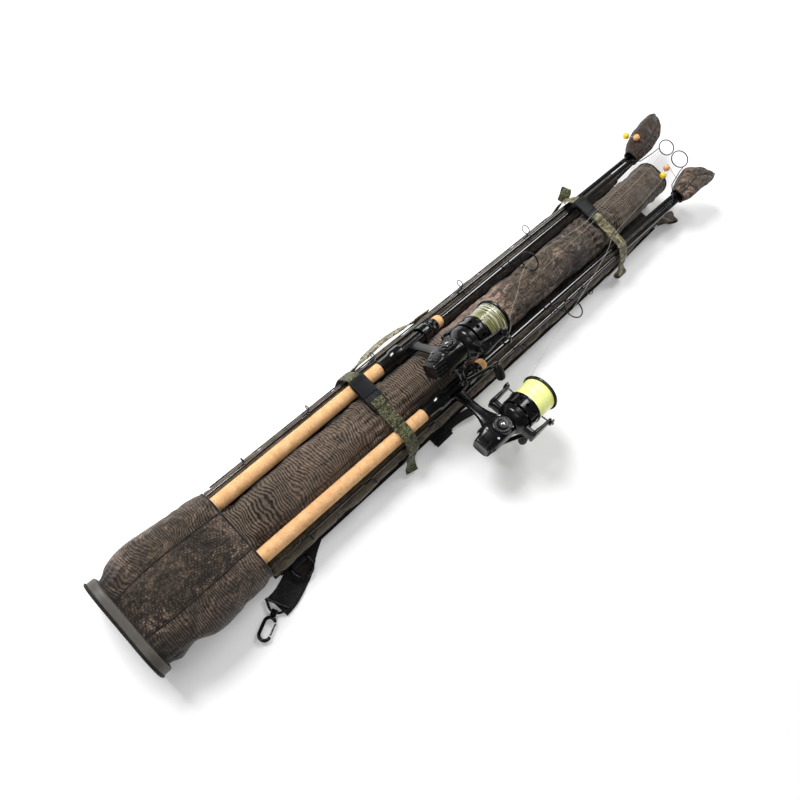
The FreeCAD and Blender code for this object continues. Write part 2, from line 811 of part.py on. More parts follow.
def rotor(reel, frame):
    """Dish with two arms, along local +Y and -Y."""
    dish_radius, arm_start, arm_thick = 30, 27, 6
    reach = rotor_arm_radius
    dish = cut(fuse([cone(22, dish_radius, 10, (13, 0, 0), X_AXIS),
                     cylinder(dish_radius, 12, (23, 0, 0), X_AXIS)]),
               fuse([cylinder(spool_bore, 60, (0, 0, 0), X_AXIS),
                     cylinder(25, 10, (27, 0, 0), X_AXIS)]))
    arms = []
    for root_y, arm_y in ((-reach, -reach), (arm_start, reach - arm_thick)):
        arms.append(box((15, reach - arm_start, 20), (19, root_y, -10)))
        arms.append(box((54.5, arm_thick, 16), (20, arm_y, -8)))
    keep(fuse([dish] + arms), reel + "_rotor", frame)


def spool(reel, frame):
    """Spool, its pack of line and the drag knob in front."""
    skirt, lip, line, bore = spool_skirt_radius, spool_lip_radius, spool_line_radius, spool_bore
    profiles = {
        "_spool": [
            (38, 27), (38, skirt), (59, skirt), (59, 33.5), (62, 33.5), (62, 22), (103, 22),
            (103, lip - 0.8), (104.4, lip), (106.6, lip - 0.6), (108, 30), (108, bore),
            (58, bore), (58, 27)],
        "_line": [(62.3, 22.2), (62.3, line), (102.6, line + 2), (102.6, 22.2)],
        "_drag_knob": [
            (108.3, bore), (108.3, 17), (112, 18), (119, 17), (122, 14), (122, 0), (114.5, 0),
            (114.5, bore)],
    }
    for ending, points in profiles.items():
        keep(revolve_body(reel + ending, points), reel + ending, frame)


def bail(reel, frame):
    """Two pivot plates and a bowed wire between them."""
    pivot_x, plate_thick, plate_gap = 72.0, 3.6, 0.3
    wire_reach, spans = 56.0, 12
    tilt = math.radians(60)    # of the bow, from local X towards Z
    reach = rotor_arm_radius
    plates = [cylinder(7, plate_thick, (pivot_x, y, 0), Y_AXIS)
              for y in (reach + plate_gap, -reach - plate_gap - plate_thick)]
    points = []
    for k in range(spans + 1):
        turn = math.pi * k / spans
        out = wire_reach * math.sin(turn)
        points.append(V(pivot_x + out * math.cos(tilt), (reach + 2.4) * math.cos(turn),
                        out * math.sin(tilt)))
    curve = Part.BSplineCurve()
    curve.interpolate(points)
    start_direction = curve.tangent(curve.FirstParameter)[0]
    circle = Part.Circle(points[0], start_direction, float(bail_wire_radius))
    wire = doc.addObject("Part::Feature", "BailWire")
    wire.Shape = Part.Wire([curve.toShape()]).makePipeShell(
        [Part.Wire([circle.toShape()])], True, True)
    keep(fuse(plates + [wire]), reel + "_bail", frame)


def crank(reel, frame):
    """Hub, slanting arm and pin, and the knob that turns on the pin."""
    degrees = 22
    arm_low, arm_width, arm_thick = 56.0, 9, 5
    cosine, sine = math.cos(math.radians(degrees)), math.sin(math.radians(degrees))
    pin_x, pin_y = crank_length * cosine, crank_length * sine
    hub = cylinder(8, 29, (0, 0, 31.9))
    hub_top = cylinder(8, 6, (0, 0, 55.5))
    # its corner is set back so that the arm is centred on the hub
    arm = box((crank_length, arm_width, arm_thick),
              (arm_width / 2 * sine, -arm_width / 2 * cosine, arm_low),
              turned(Z_AXIS, degrees))
    eye = cylinder(6.5, arm_thick, (pin_x, pin_y, arm_low))
    pin = cylinder(2.4, 31, (pin_x, pin_y, 57.0))
    keep(fuse([hub, hub_top, arm, eye, pin]), reel + "_crank", frame)

    bore = 2.46
    label = reel + "_crank_knob"
    knob = revolve_body(label, [
        (0, bore), (0, 6), (4, 7.2), (15, 8.4), (25, 8.2), (29, 5.5), (30.5, 3), (30.5, 0),
        (27.4, 0), (27.4, bore)])
    keep(knob, label, frame * at(pin_x, pin_y, 61.5, Rotation(V(*X_AXIS), V(*Z_AXIS))))


def build_reel(reel, sign, degrees):
    frame = rod_frame(sign) * at(reel_station, 0, 0, turned(X_AXIS, degrees))
    spool_frame = frame * at(0, reel_drop, 0)
    reel_body(reel, frame)
    rotor(reel, spool_frame)
    spool(reel, spool_frame)
    bail(reel, spool_frame)
    crank(reel, frame * at(-4, reel_drop, 0))


# ===========================================================================
# Build, check and export
# ===========================================================================
base_sole()
base_tray()
butt_pocket()
back_panel()
spine_board()
bolsters()
tube_sleeve()
tip_cups()
tip_elastics()
for name, strap_x in (("lower", lower_strap_x), ("upper", upper_strap_x)):
    strap(name, strap_x)
    buckle_socket(name, strap_x)
    buckle_plug(name, strap_x)
carry_handle()
shoulder_strap()
strap_adjuster()
hook_swivel()
hook_body()
hook_gate()
d_ring()
for side, sign, butt_degrees, tip_degrees, reel_degrees in ROD_SIDES:
    rod = side + "_rod"
    butt_cap(rod, rod_frame(sign))
    cork(rod, rod_frame(sign))
    reel_seat(rod, rod_frame(sign))
    blanks(rod, sign)
    guides(rod, side, sign, butt_degrees, tip_degrees)
    build_reel(side + "_reel", sign, reel_degrees)

doc.recompute()
failed = [o.Name for o in doc.Objects if "Invalid" in o.State or "Error" in o.State]
if failed:
    raise RuntimeError("failed objects: %s" % failed)
for label, obj in pieces.items():
    if obj.Shape.isNull() or not obj.Shape.isValid() or not obj.Shape.Solids:
        raise RuntimeError("bad shape: " + label)
os.makedirs("parts", exist_ok=True)
for label, obj in pieces.items():
    obj.Shape.exportStep(os.path.join("parts", label + ".step"))
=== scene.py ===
import bpy, bmesh, math, json
import numpy as np
from mathutils import Vector, Matrix, noise
from mathutils.bvhtree import BVHTree


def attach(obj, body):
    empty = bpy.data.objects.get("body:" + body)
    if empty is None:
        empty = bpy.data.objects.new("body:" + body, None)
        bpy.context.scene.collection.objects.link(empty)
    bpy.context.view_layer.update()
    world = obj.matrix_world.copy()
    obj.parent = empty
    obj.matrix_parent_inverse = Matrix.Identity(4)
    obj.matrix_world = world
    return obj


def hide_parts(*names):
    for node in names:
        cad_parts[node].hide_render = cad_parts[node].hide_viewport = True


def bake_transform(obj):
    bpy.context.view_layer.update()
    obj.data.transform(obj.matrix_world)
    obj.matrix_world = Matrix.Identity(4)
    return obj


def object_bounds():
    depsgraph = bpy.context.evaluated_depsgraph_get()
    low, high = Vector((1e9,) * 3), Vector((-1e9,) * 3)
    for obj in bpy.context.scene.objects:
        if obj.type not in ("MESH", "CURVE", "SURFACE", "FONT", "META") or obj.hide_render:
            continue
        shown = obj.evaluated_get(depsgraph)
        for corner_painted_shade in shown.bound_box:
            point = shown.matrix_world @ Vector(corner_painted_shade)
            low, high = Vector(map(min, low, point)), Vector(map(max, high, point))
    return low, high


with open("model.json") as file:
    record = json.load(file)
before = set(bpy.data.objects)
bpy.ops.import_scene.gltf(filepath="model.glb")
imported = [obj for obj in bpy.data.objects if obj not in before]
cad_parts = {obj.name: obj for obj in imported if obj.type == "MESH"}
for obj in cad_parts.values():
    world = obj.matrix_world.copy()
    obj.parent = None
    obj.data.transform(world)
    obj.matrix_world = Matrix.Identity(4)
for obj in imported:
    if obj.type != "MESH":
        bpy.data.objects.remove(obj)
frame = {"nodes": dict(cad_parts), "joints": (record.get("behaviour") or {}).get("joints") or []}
CAD_LO, CAD_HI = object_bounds()
NODES = frame["nodes"]
J = {j["name"]: j for j in frame["joints"]}
FLOOR = CAD_LO.z
scene = bpy.context.scene


def F(x, y, z):
    """Millimetres above the resting plane -> row frame in metres."""
    return Vector((x / 1000.0, y / 1000.0, z / 1000.0 + FLOOR))


# ===========================================================================
# Node material helper
# ===========================================================================
class Mat(object):
    def __init__(self, name):
        self.m = bpy.data.materials.new(name)
        self.m.use_nodes = True
        self.t = self.m.node_tree
        self.n = self.t.nodes
        self.b = self.n["Principled BSDF"]
        self._tc = None

    def new(self, kind):
        return self.n.new(kind)

    def link(self, a, b):
        self.t.links.new(a, b)

    def put(self, sock, val):
        if hasattr(val, "is_output") or isinstance(val, bpy.types.NodeSocket):
            self.link(val, sock)
        else:
            sock.default_value = val

    def obj(self):
        if self._tc is None:
            self._tc = self.new("ShaderNodeTexCoord")
        return self._tc.outputs["Object"]

    def gen(self):
        if self._tc is None:
            self._tc = self.new("ShaderNodeTexCoord")
        return self._tc.outputs["Generated"]

    def attr(self, name):
        a = self.new("ShaderNodeAttribute")
        a.attribute_name = name
        return a

    def map(self, vec, scale=(1, 1, 1), rot=(0, 0, 0), loc=(0, 0, 0)):
        k = self.new("ShaderNodeMapping")
        self.link(vec, k.inputs["Vector"])
        k.inputs["Scale"].default_value = scale
        k.inputs["Rotation"].default_value = rot
        k.inputs["Location"].default_value = loc
        return k.outputs["Vector"]

    def noise(self, vec, scale, detail=3, rough=0.5, dist=0.0, out="Fac"):
        k = self.new("ShaderNodeTexNoise")
        self.link(vec, k.inputs["Vector"])
        k.inputs["Scale"].default_value = scale
        k.inputs["Detail"].default_value = detail
        k.inputs["Roughness"].default_value = rough
        k.inputs["Distortion"].default_value = dist
        return k.outputs[out]

    def voro(self, vec, scale, feature="F1", out="Distance", rand=1.0):
        k = self.new("ShaderNodeTexVoronoi")
        k.feature = feature
        self.link(vec, k.inputs["Vector"])
        k.inputs["Scale"].default_value = scale
        k.inputs["Randomness"].default_value = rand
        return k.outputs[out]

    def wave(self, vec, scale, direction="X", dist=0.0, dscale=1.0, kind="BANDS", profile="SIN"):
        k = self.new("ShaderNodeTexWave")
        k.wave_type = kind
        k.wave_profile = profile
        if kind == "BANDS":
            k.bands_direction = direction
        else:
            k.rings_direction = direction
        self.link(vec, k.inputs["Vector"])
        k.inputs["Scale"].default_value = scale
        k.inputs["Distortion"].default_value = dist
        k.inputs["Detail"].default_value = 2
        k.inputs["Detail Scale"].default_value = dscale
        return k.outputs["Fac"]

    def ramp(self, fac, stops, interp="LINEAR"):
        k = self.new("ShaderNodeValToRGB")
        self.link(fac, k.inputs["Fac"])
        k.color_ramp.interpolation = interp
        e = k.color_ramp.elements
        while len(e) < len(stops):
            e.new(0.5)
        for i, (p, c) in enumerate(stops):
            e[i].position = p
            e[i].color = (c, c, c, 1) if isinstance(c, (int, float)) else (c[0], c[1], c[2], 1)
        return k.outputs["Color"]

    def mix(self, fac, a, b, blend="MIX"):
        k = self.new("ShaderNodeMix")
        k.data_type = "RGBA"
        k.blend_type = blend
        k.clamp_result = True
        self.put(k.inputs[0], fac)
        for i, v in ((6, a), (7, b)):
            if isinstance(v, tuple):
                v = (v[0], v[1], v[2], 1.0)
            self.put(k.inputs[i], v)
        return k.outputs[2]

    def math(self, op, a, b=None, c=None, clamp=False):
        k = self.new("ShaderNodeMath")
        k.operation = op
        k.use_clamp = clamp
        self.put(k.inputs[0], a)
        if b is not None:
            self.put(k.inputs[1], b)
        if c is not None:
            self.put(k.inputs[2], c)
        return k.outputs[0]

    def sep(self, vec):
        k = self.new("ShaderNodeSeparateXYZ")
        self.link(vec, k.inputs[0])
        return k.outputs

    def comb(self, x, y, z):
        k = self.new("ShaderNodeCombineXYZ")
        for i, v in enumerate((x, y, z)):
            self.put(k.inputs[i], v)
        return k.outputs[0]

    def bump(self, height, strength=0.3, distance=0.001, normal=None):
        k = self.new("ShaderNodeBump")
        k.inputs["Strength"].default_value = strength
        k.inputs["Distance"].default_value = distance
        self.link(height, k.inputs["Height"])
        if normal is not None:
            self.link(normal, k.inputs["Normal"])
        return k.outputs["Normal"]

    def set(self, **kw):
        names = {"color": "Base Color", "rough": "Roughness", "metal": "Metallic", "normal": "Normal",
                 "sheen": "Sheen Weight", "sheen_rough": "Sheen Roughness", "sheen_tint": "Sheen Tint",
                 "coat": "Coat Weight", "coat_rough": "Coat Roughness", "spec": "Specular IOR Level",
                 "sss": "Subsurface Weight", "ior": "IOR", "alpha": "Alpha", "aniso": "Anisotropic",
                 "emit": "Emission Strength", "emit_color": "Emission Color", "trans": "Transmission Weight"}
        for k, v in kw.items():
            if isinstance(v, tuple) and len(v) == 3:
                v = (v[0], v[1], v[2], 1.0)
            self.put(self.b.inputs[names[k]], v)
        return self.m


def srgb(r, g, b):
    f = lambda c: ((c / 255.0 + 0.055) / 1.055) ** 2.4 if c > 10 else c / 255.0 / 12.92
    return (f(r), f(g), f(b))


# ---- camouflage cloth ------------------------------------------------------
def camo_cloth(name, rib="X", rib_period=3.4, rib_amount=0.5, dark=1.0, patch=1.0, branch=1.0,
               seam_and_shade_attr=False, streak=None, olive=0.0, scale_print=0.0, split=None, rib_zone=None, pink_zone=None,
               rib_contrast=1.0, tint=None):
    """Printed woven polyester: mottled brown patches, dark branch-like lines and
    a fine ribbed print across the piece.  Lengths in millimetres."""
    k = Mat(name)
    v = k.obj()
    warp = k.noise(v, 14, 2, 0.5, out="Color")
    wv = k.new("ShaderNodeVectorMath")
    wv.operation = "SCALE"
    k.link(warp, wv.inputs[0])
    wv.inputs["Scale"].default_value = 0.045
    add = k.new("ShaderNodeVectorMath")
    add.operation = "ADD"
    k.link(v, add.inputs[0])
    k.link(wv.outputs[0], add.inputs[1])
    vw = add.outputs[0]
    if streak:
        vw2 = k.map(vw, scale=streak)
    else:
        vw2 = vw
    big = k.noise(vw2, 7.0, 2, 0.5)
    mid = k.noise(vw2, 26, 5, 0.62, 1.4)
    fine = k.noise(vw2, 85, 5, 0.7, 0.6)
    speck = k.noise(v, 420, 2, 0.6)
    d = dark
    c_dark = tuple(x * d for x in srgb(24, 20, 16))
    c_mid = tuple(x * d for x in srgb(74, 62, 52))
    c_tan = tuple(x * d for x in srgb(138, 118, 99))
    c_pink = tuple(x * d for x in srgb(188, 158, 140))
    c_olive = tuple(x * d for x in srgb(96, 88, 54))
    xyz = k.sep(v)
    xn = k.math("DIVIDE", xyz[0], 1.5, clamp=True)
    rz = k.ramp(xn, rib_zone) if rib_zone else None
    pz = k.ramp(xn, pink_zone) if pink_zone else None
    centre = None
    if split:
        centre = k.math("LESS_THAN", k.math("ABSOLUTE", xyz[1]), split)
    base = k.mix(k.ramp(mid, [(0.36, 0.0), (0.60, 1.0)]), c_dark, c_mid)
    base = k.mix(k.math("MULTIPLY", k.ramp(fine, [(0.42, 0.0), (0.66, 1.0)]), 0.75), base, c_tan)
    # small flecks, dark and light
    micro = k.noise(vw2, 210, 3, 0.65)
    base = k.mix(k.math("MULTIPLY", k.ramp(micro, [(0.39, 1.0), (0.49, 0.0)]), 0.80), base, c_dark)
    base = k.mix(k.math("MULTIPLY", k.ramp(micro, [(0.54, 0.0), (0.66, 1.0)]), 0.56), base, c_tan)
    # light patches with ragged edges
    pm = k.math("ADD", k.math("MULTIPLY", big, 0.62), k.math("MULTIPLY", fine, 0.42))
    pmask = k.ramp(pm, [(0.535, 0.0), (0.575, 1.0)])
    pmask = k.math("MULTIPLY", pmask, k.ramp(micro, [(0.40, 0.35), (0.52, 1.0)]))
    pf = k.math("MULTIPLY", pmask, 0.62 * patch)
    if pz is not None:
        pf = k.math("MULTIPLY", pf, pz)
    base = k.mix(pf, base, c_pink)
    if olive > 0:
        om = k.ramp(k.noise(vw2, 16, 3, 0.6, 0.8), [(0.42, 0.0), (0.58, 1.0)])
        base = k.mix(k.math("MULTIPLY", om, olive), base, c_olive)
    # dark branches: thin contour lines of a stretched noise
    bn = k.noise(k.map(vw, scale=(0.55, 1.25, 1.0), rot=(0, 0, 0.6)), 17, 4, 0.62, 0.9)
    line = k.math("ABSOLUTE", k.math("SUBTRACT", bn, 0.5))
    lmask = k.ramp(line, [(0.010, 1.0), (0.030, 0.0)])
    gate = k.ramp(k.noise(v, 8.5, 2, 0.5), [(0.42, 0.0), (0.55, 1.0)])
    base = k.mix(k.math("MULTIPLY", k.math("MULTIPLY", lmask, gate), 0.85 * branch), base,
                 tuple(x * d for x in srgb(18, 15, 14)))
    # big dark blotches
    bl = k.ramp(k.noise(vw, 11, 3, 0.6, 0.7), [(0.56, 0.0), (0.66, 1.0)])
    base = k.mix(k.math("MULTIPLY", bl, 0.55), base, tuple(x * d for x in srgb(26, 22, 20)))
    # ribbed print
    sc = 0.31416 / (rib_period / 1000.0)
    rb = k.wave(vw, sc, rib, 2.2, 3.0)
    rb2 = k.ramp(rb, [(0.25, 0.0), (0.8, 1.0)])
    rgate = k.ramp(k.noise(v, 15, 3, 0.6), [(0.30, 0.15), (0.62, 1.0)])
    if rz is not None:
        rgate = k.math("MULTIPLY", k.math("ADD", k.math("MULTIPLY", rgate, 0.5), 0.5), rz)
    if centre is not None:
        rgate = k.math("MULTIPLY", rgate, k.math("SUBTRACT", 1.0, k.math("MULTIPLY", centre, 0.7)))
    base = k.mix(k.math("MULTIPLY", k.math("MULTIPLY", k.math("SUBTRACT", 1.0, rb2), rgate), rib_amount),
                 base, tuple(x * d for x in srgb(19, 16, 14)))
    base = k.mix(k.math("MULTIPLY", k.math("MULTIPLY", rb2, rgate), rib_amount * 0.42 * rib_contrast), base, c_tan)
    if scale_print > 0:
        sv = k.voro(k.map(v, scale=(1.0, 1.35, 1.35), rot=(0, 0, 0.5)), 205, "DISTANCE_TO_EDGE", "Distance", 0.45)
        sm = k.ramp(sv, [(0.05, 1.0), (0.24, 0.0)])
        sg = k.ramp(k.noise(v, 12, 2, 0.5), [(0.36, 0.45), (0.50, 1.0)])
        if centre is not None:
            sg = k.math("MULTIPLY", sg, centre)
        hi_ = k.ramp(sv, [(0.24, 0.0), (0.40, 1.0)])
        base = k.mix(k.math("MULTIPLY", k.math("MULTIPLY", hi_, sg), 0.30), base, c_tan)
        base = k.mix(k.math("MULTIPLY", k.math("MULTIPLY", sm, sg), scale_print), base,
                     tuple(x * d for x in srgb(20, 17, 15)))
    base = k.mix(0.22, base, k.ramp(speck, [(0.35, 0.0), (0.65, 0.22)]), "OVERLAY")
    if split:
        # painted shade: the colour is darkened on the near side panel and in the far lower corner, standing in for the
        # shade that falls there
        near_side_painted_shade = k.ramp(k.math("MULTIPLY", xyz[1], -10.0, clamp=True), [(split * 10 - 0.02, 0.0), (split * 10 + 0.05, 1.0)])
        base = k.mix(k.math("MULTIPLY", near_side_painted_shade, 0.40), base, c_dark)
        # painted shadow in the far lower corner just above the foot
        cy = k.ramp(k.math("MULTIPLY", xyz[1], 10.0, clamp=True), [(0.42, 0.0), (0.62, 1.0)])
        cx = k.ramp(k.math("ADD", k.math("MULTIPLY", xyz[0], 10.0), k.math("MULTIPLY", big, 0.4), clamp=True), [(0.62, 1.0), (0.95, 0.0)])
        base = k.mix(k.math("MULTIPLY", k.math("MULTIPLY", cy, cx), 0.55), base, c_dark)
    if tint:
        base = k.mix(1.0, base, tint, "MULTIPLY")
    if seam_and_shade_attr:
        # seam attribute: darker along the seams, the foot join and the mouth edge, plus painted shade in the lower
        # corners above the foot
        a = k.attr("seam").outputs["Fac"]
        base = k.mix(k.math("MULTIPLY", a, 0.75), base, tuple(x * d for x in srgb(20, 17, 15)))
        st = k.attr("stitch").outputs["Fac"]
        base = k.mix(st, base, srgb(150, 132, 112))
    # weave relief
    w1 = k.wave(v, 0.31416 / 0.0011, "X", 0.0)
    w2 = k.wave(v, 0.31416 / 0.0011, "Y", 0.0)
    w3 = k.wave(v, 0.31416 / 0.0011, "Z", 0.0)
    weave = k.math("ADD", k.math("MULTIPLY", w1, w2), k.math("MULTIPLY", w1, w3))
    nb = k.bump(weave, 0.28, 0.0006)
    nb = k.bump(rb, 0.22 * rib_amount + 0.05, 0.0012, nb)
    nb = k.bump(k.noise(v, 30, 4, 0.6), 0.35, 0.006, nb)
    rough = k.ramp(fine, [(0.3, 0.78), (0.7, 0.93)])
    return k.set(color=base, rough=rough, normal=nb, sheen=0.22, sheen_rough=0.5, spec=0.28)


def webbing(name, palette, period=1.6, across="Y", patch_scale=38, rough=0.82, rib=0.0, bumpy=0.55):
    """Woven tape: broken colours and rows of yarn both ways.
    Uses the piece's own uv: u along the tape in metres, v across it in metres."""
    k = Mat(name)
    uv = k.attr("tape")
    vec = uv.outputs["Vector"]
    s = k.sep(vec)
    ob = k.obj()
    n1 = k.noise(ob, patch_scale, 3, 0.55, 0.6)
    n2 = k.noise(ob, patch_scale * 3.1, 3, 0.6, 0.4)
    c = k.mix(k.ramp(n1, [(0.40, 0.0), (0.47, 1.0)], "LINEAR"), palette[0], palette[1])
    c = k.mix(k.ramp(n2, [(0.52, 0.0), (0.58, 1.0)]), c, palette[2])
    if len(palette) > 3:
        n3 = k.noise(k.map(ob, loc=(3, 1, 7)), patch_scale * 1.7, 3, 0.6, 0.4)
        c = k.mix(k.ramp(n3, [(0.56, 0.0), (0.62, 1.0)]), c, palette[3])
    pu = period / 1000.0
    # herringbone yarns: sine along u shifted with v
    ph = k.math("ADD", k.math("MULTIPLY", s[0], 2 * math.pi / pu),
                k.math("MULTIPLY", k.math("PINGPONG", s[1], 0.0032), 2 * math.pi / pu * 0.9))
    yarn = k.math("MULTIPLY_ADD", k.math("SINE", ph), 0.5, 0.5)
    fil = k.math("MULTIPLY_ADD", k.math("SINE", k.math("MULTIPLY", s[1], 2 * math.pi / (pu * 0.8))), 0.5, 0.5)
    yf = k.math("ADD", k.math("MULTIPLY", yarn, 0.65), k.math("MULTIPLY", fil, 0.35))
    c = k.mix(k.math("MULTIPLY", k.math("SUBTRACT", 1.0, yf), 0.55), c,
              tuple(x * 0.25 for x in palette[0]))
    if rib > 0:
        rr = k.math("MULTIPLY_ADD", k.math("SINE", k.math("MULTIPLY", s[1], 2 * math.pi / rib)), 0.5, 0.5)
        c = k.mix(k.math("MULTIPLY", k.math("SUBTRACT", 1.0, rr), 0.6), c, tuple(x * 0.2 for x in palette[0]))
        yf = k.math("ADD", yf, k.math("MULTIPLY", rr, 1.5))
    nb = k.bump(yf, bumpy, 0.0007)
    nb = k.bump(k.noise(ob, 60, 3, 0.6), 0.25, 0.002, nb)
    st = k.attr("stitch").outputs["Fac"]
    c = k.mix(st, c, tuple(min(1, x * 1.9 + 0.02) for x in palette[1]))
    return k.set(color=c, rough=rough, normal=nb, sheen=0.25, sheen_rough=0.45, spec=0.3)


def plastic(name, col, rough=0.45, grain=900, coat=0.0, wear=0.5, var=0.25, spec=0.5):
    """Moulded plastic: fine grain, slight tone change and lighter rubbed edges."""
    k = Mat(name)
    v = k.obj()
    n = k.noise(v, 35, 4, 0.6)
    c = k.mix(k.math("MULTIPLY", k.ramp(n, [(0.3, 0.0), (0.7, 1.0)]), var), col, tuple(min(1, x * 2.2 + 0.01) for x in col))
    g = k.new("ShaderNodeNewGeometry")
    edge = k.ramp(g.outputs["Pointiness"], [(0.515, 0.0), (0.60, 1.0)])
    sc = k.ramp(k.noise(v, 220, 4, 0.65), [(0.45, 0.0), (0.62, 1.0)])
    c = k.mix(k.math("MULTIPLY", k.math("MULTIPLY", edge, sc), wear), c, tuple(min(1, x * 4 + 0.06) for x in col))
    r = k.math("ADD", rough - 0.07, k.math("MULTIPLY", k.noise(v, 120, 3, 0.6), 0.14))
    nb = k.bump(k.noise(v, grain, 3, 0.6), 0.18, 0.0003)
    nb = k.bump(k.noise(v, 45, 2, 0.5), 0.06, 0.002, nb)
    return k.set(color=c, rough=r, normal=nb, coat=coat, coat_rough=0.15, spec=spec)


def metal(name, col, rough=0.25, brushed=None, wear=0.3, coat=0.0):
    k = Mat(name)
    v = k.obj()
    n = k.noise(v, 60, 4, 0.6)
    c = k.mix(k.math("MULTIPLY", n, 0.35), col, tuple(min(1, x * 1.6 + 0.02) for x in col))
    r = k.math("ADD", rough - 0.05, k.math("MULTIPLY", k.noise(v, 260, 4, 0.7), 0.16))
    nb = k.bump(k.noise(v, 700, 2, 0.6), 0.06, 0.0003)
    return k.set(color=c, rough=r, metal=1.0, normal=nb, coat=coat, coat_rough=0.1)


# ===========================================================================
# Mesh helpers
# ===========================================================================
def make(name, verts, faces, mat, smooth=True, attrs=None):
    me = bpy.data.meshes.new(name)
    me.from_pydata([tuple(v) for v in verts], [], faces)
    me.validate(verbose=False)
    if smooth:
        me.polygons.foreach_set("use_smooth", [True] * len(me.polygons))
    if attrs:
        for an, (kind, vals) in attrs.items():
            if kind == "FLOAT":
                a = me.attributes.new(an, "FLOAT", "POINT")
                a.data.foreach_set("value", np.array(vals, np.float32))
            else:
                a = me.attributes.new(an, "FLOAT_VECTOR", "POINT")
                a.data.foreach_set("vector", np.array(vals, np.float32).ravel())
    o = bpy.data.objects.new(name, me)
    scene.collection.objects.link(o)
    if mat:
        me.materials.append(mat)
    return o


def grid_faces(nu, nv, close_u=False, close_v=False, base=0, flip=False):
    """Faces of a grid whose point (i, j) has index base + i * nv + j."""
    out = []
    for i in range(nu if close_u else nu - 1):
        for j in range(nv if close_v else nv - 1):
            a = base + i * nv + j
            b = base + ((i + 1) % nu) * nv + j
            c = base + ((i + 1) % nu) * nv + (j + 1) % nv
            d = base + i * nv + (j + 1) % nv
            out.append((a, d, c, b) if flip else (a, b, c, d))
    return out


def fix_normals(o):
    bm = bmesh.new()
    bm.from_mesh(o.data)
    bmesh.ops.recalc_face_normals(bm, faces=bm.faces)
    bm.to_mesh(o.data)
    bm.free()
    return o


def solid(o, t, offset=-1):
    m = o.modifiers.new("thick", "SOLIDIFY")
    m.thickness = t
    m.offset = offset
    return o


def subsurf(o, n=1):
    m = o.modifiers.new("sub", "SUBSURF")
    m.levels = n
    m.render_levels = n
    return o


def bevel(o, w=0.0006, seg=2, angle=35):
    m = o.modifiers.new("bev", "BEVEL")
    m.width = w
    m.segments = seg
    m.limit_method = "ANGLE"
    m.angle_limit = math.radians(angle)
    m.harden_normals = False
    return o


def apply_mods(o):
    bpy.context.view_layer.update()
    dg = bpy.context.evaluated_depsgraph_get()
    me = bpy.data.meshes.new_from_object(o.evaluated_get(dg), preserve_all_data_layers=True, depsgraph=dg)
    old = o.data
    o.modifiers.clear()
    o.data = me
    return o


def auto_smooth(o, deg=35):
    """Shade smooth with sharp edges above an angle."""
    bm = bmesh.new()
    bm.from_mesh(o.data)
    for f in bm.faces:
        f.smooth = True
    lim = math.radians(deg)
    for e in bm.edges:
        if len(e.link_faces) == 2:
            e.smooth = e.calc_face_angle(0.0) < lim
        else:
            e.smooth = True
    bm.to_mesh(o.data)
    bm.free()
    return o


def frame_of(X, Y, Z, O):
    m = Matrix.Identity(4)
    for i in range(3):
        m[i][0], m[i][1], m[i][2], m[i][3] = X[i], Y[i], Z[i], O[i]
    return m


def box_bm(bm, lo, hi, M=None):
    vs = []
    for x in (lo[0], hi[0]):
        for y in (lo[1], hi[1]):
            for z in (lo[2], hi[2]):
                p = Vector((x, y, z))
                vs.append(bm.verts.new(M @ p if M else p))
    for f in ((0, 1, 3, 2), (4, 6, 7, 5), (0, 4, 5, 1), (2, 3, 7, 6), (0, 2, 6, 4), (1, 5, 7, 3)):
        bm.faces.new([vs[i] for i in f])
    return vs


def lathe(name, prof, mat, M, n=64, closed=False, mm=True, flute=None):
    """Solid of revolution about local X; prof is [(x, r)] in mm; r = 0 closes it."""
    s = 0.001 if mm else 1.0
    verts, faces = [], []
    rings = []
    for (x, r) in prof:
        if r <= 1e-6:
            rings.append([len(verts)])
            verts.append(M @ Vector((x * s, 0, 0)))
        else:
            ids = []
            for i in range(n):
                a = 2 * math.pi * i / n
                rr = r * (flute(x, r, a) if flute else 1.0)
                ids.append(len(verts))
                verts.append(M @ Vector((x * s, rr * s * math.cos(a), rr * s * math.sin(a))))
            rings.append(ids)
    m = len(rings)
    for k in range(m if closed else m - 1):
        A, B = rings[k], rings[(k + 1) % m]
        if len(A) == 1 and len(B) == 1:
            continue
        if len(A) == 1:
            for i in range(n):
                faces.append((A[0], B[i], B[(i + 1) % n]))
        elif len(B) == 1:
            for i in range(n):
                faces.append((A[i], B[0], A[(i + 1) % n]))
        else:
            for i in range(n):
                faces.append((A[i], B[i], B[(i + 1) % n], A[(i + 1) % n]))
    o = make(name, verts, faces, mat)
    fix_normals(o)
    auto_smooth(o, 32)
    return o


def tube(name, pts, r, mat, n=12, caps=True, radii=None, closed=False):
    """Round bar swept along points (Vectors in metres); r in metres."""
    P = [Vector(p) for p in pts]
    m = len(P)
    verts, faces = [], []
    up = None
    for i, p in enumerate(P):
        a = P[(i - 1) % m] if (closed or i > 0) else p
        b = P[(i + 1) % m] if (closed or i < m - 1) else p
        t = (b - a)
        t = t.normalized() if t.length > 1e-12 else Vector((1, 0, 0))
        if up is None:
            up = t.orthogonal().normalized()
        up = (up - t * up.dot(t))
        up = up.normalized() if up.length > 1e-9 else t.orthogonal().normalized()
        side = t.cross(up)
        rr = radii[i] if radii else r
        for k in range(n):
            an = 2 * math.pi * k / n
            verts.append(p + (up * math.cos(an) + side * math.sin(an)) * rr)
    faces += grid_faces(m, n, closed, True)
    if caps and not closed:
        for base, i in ((0, 0), ((m - 1) * n, m - 1)):
            c = len(verts)
            verts.append(P[i])
            for k in range(n):
                faces.append((c, base + k, base + (k + 1) % n))
    o = make(name, verts, faces, mat)
    fix_normals(o)
    return o


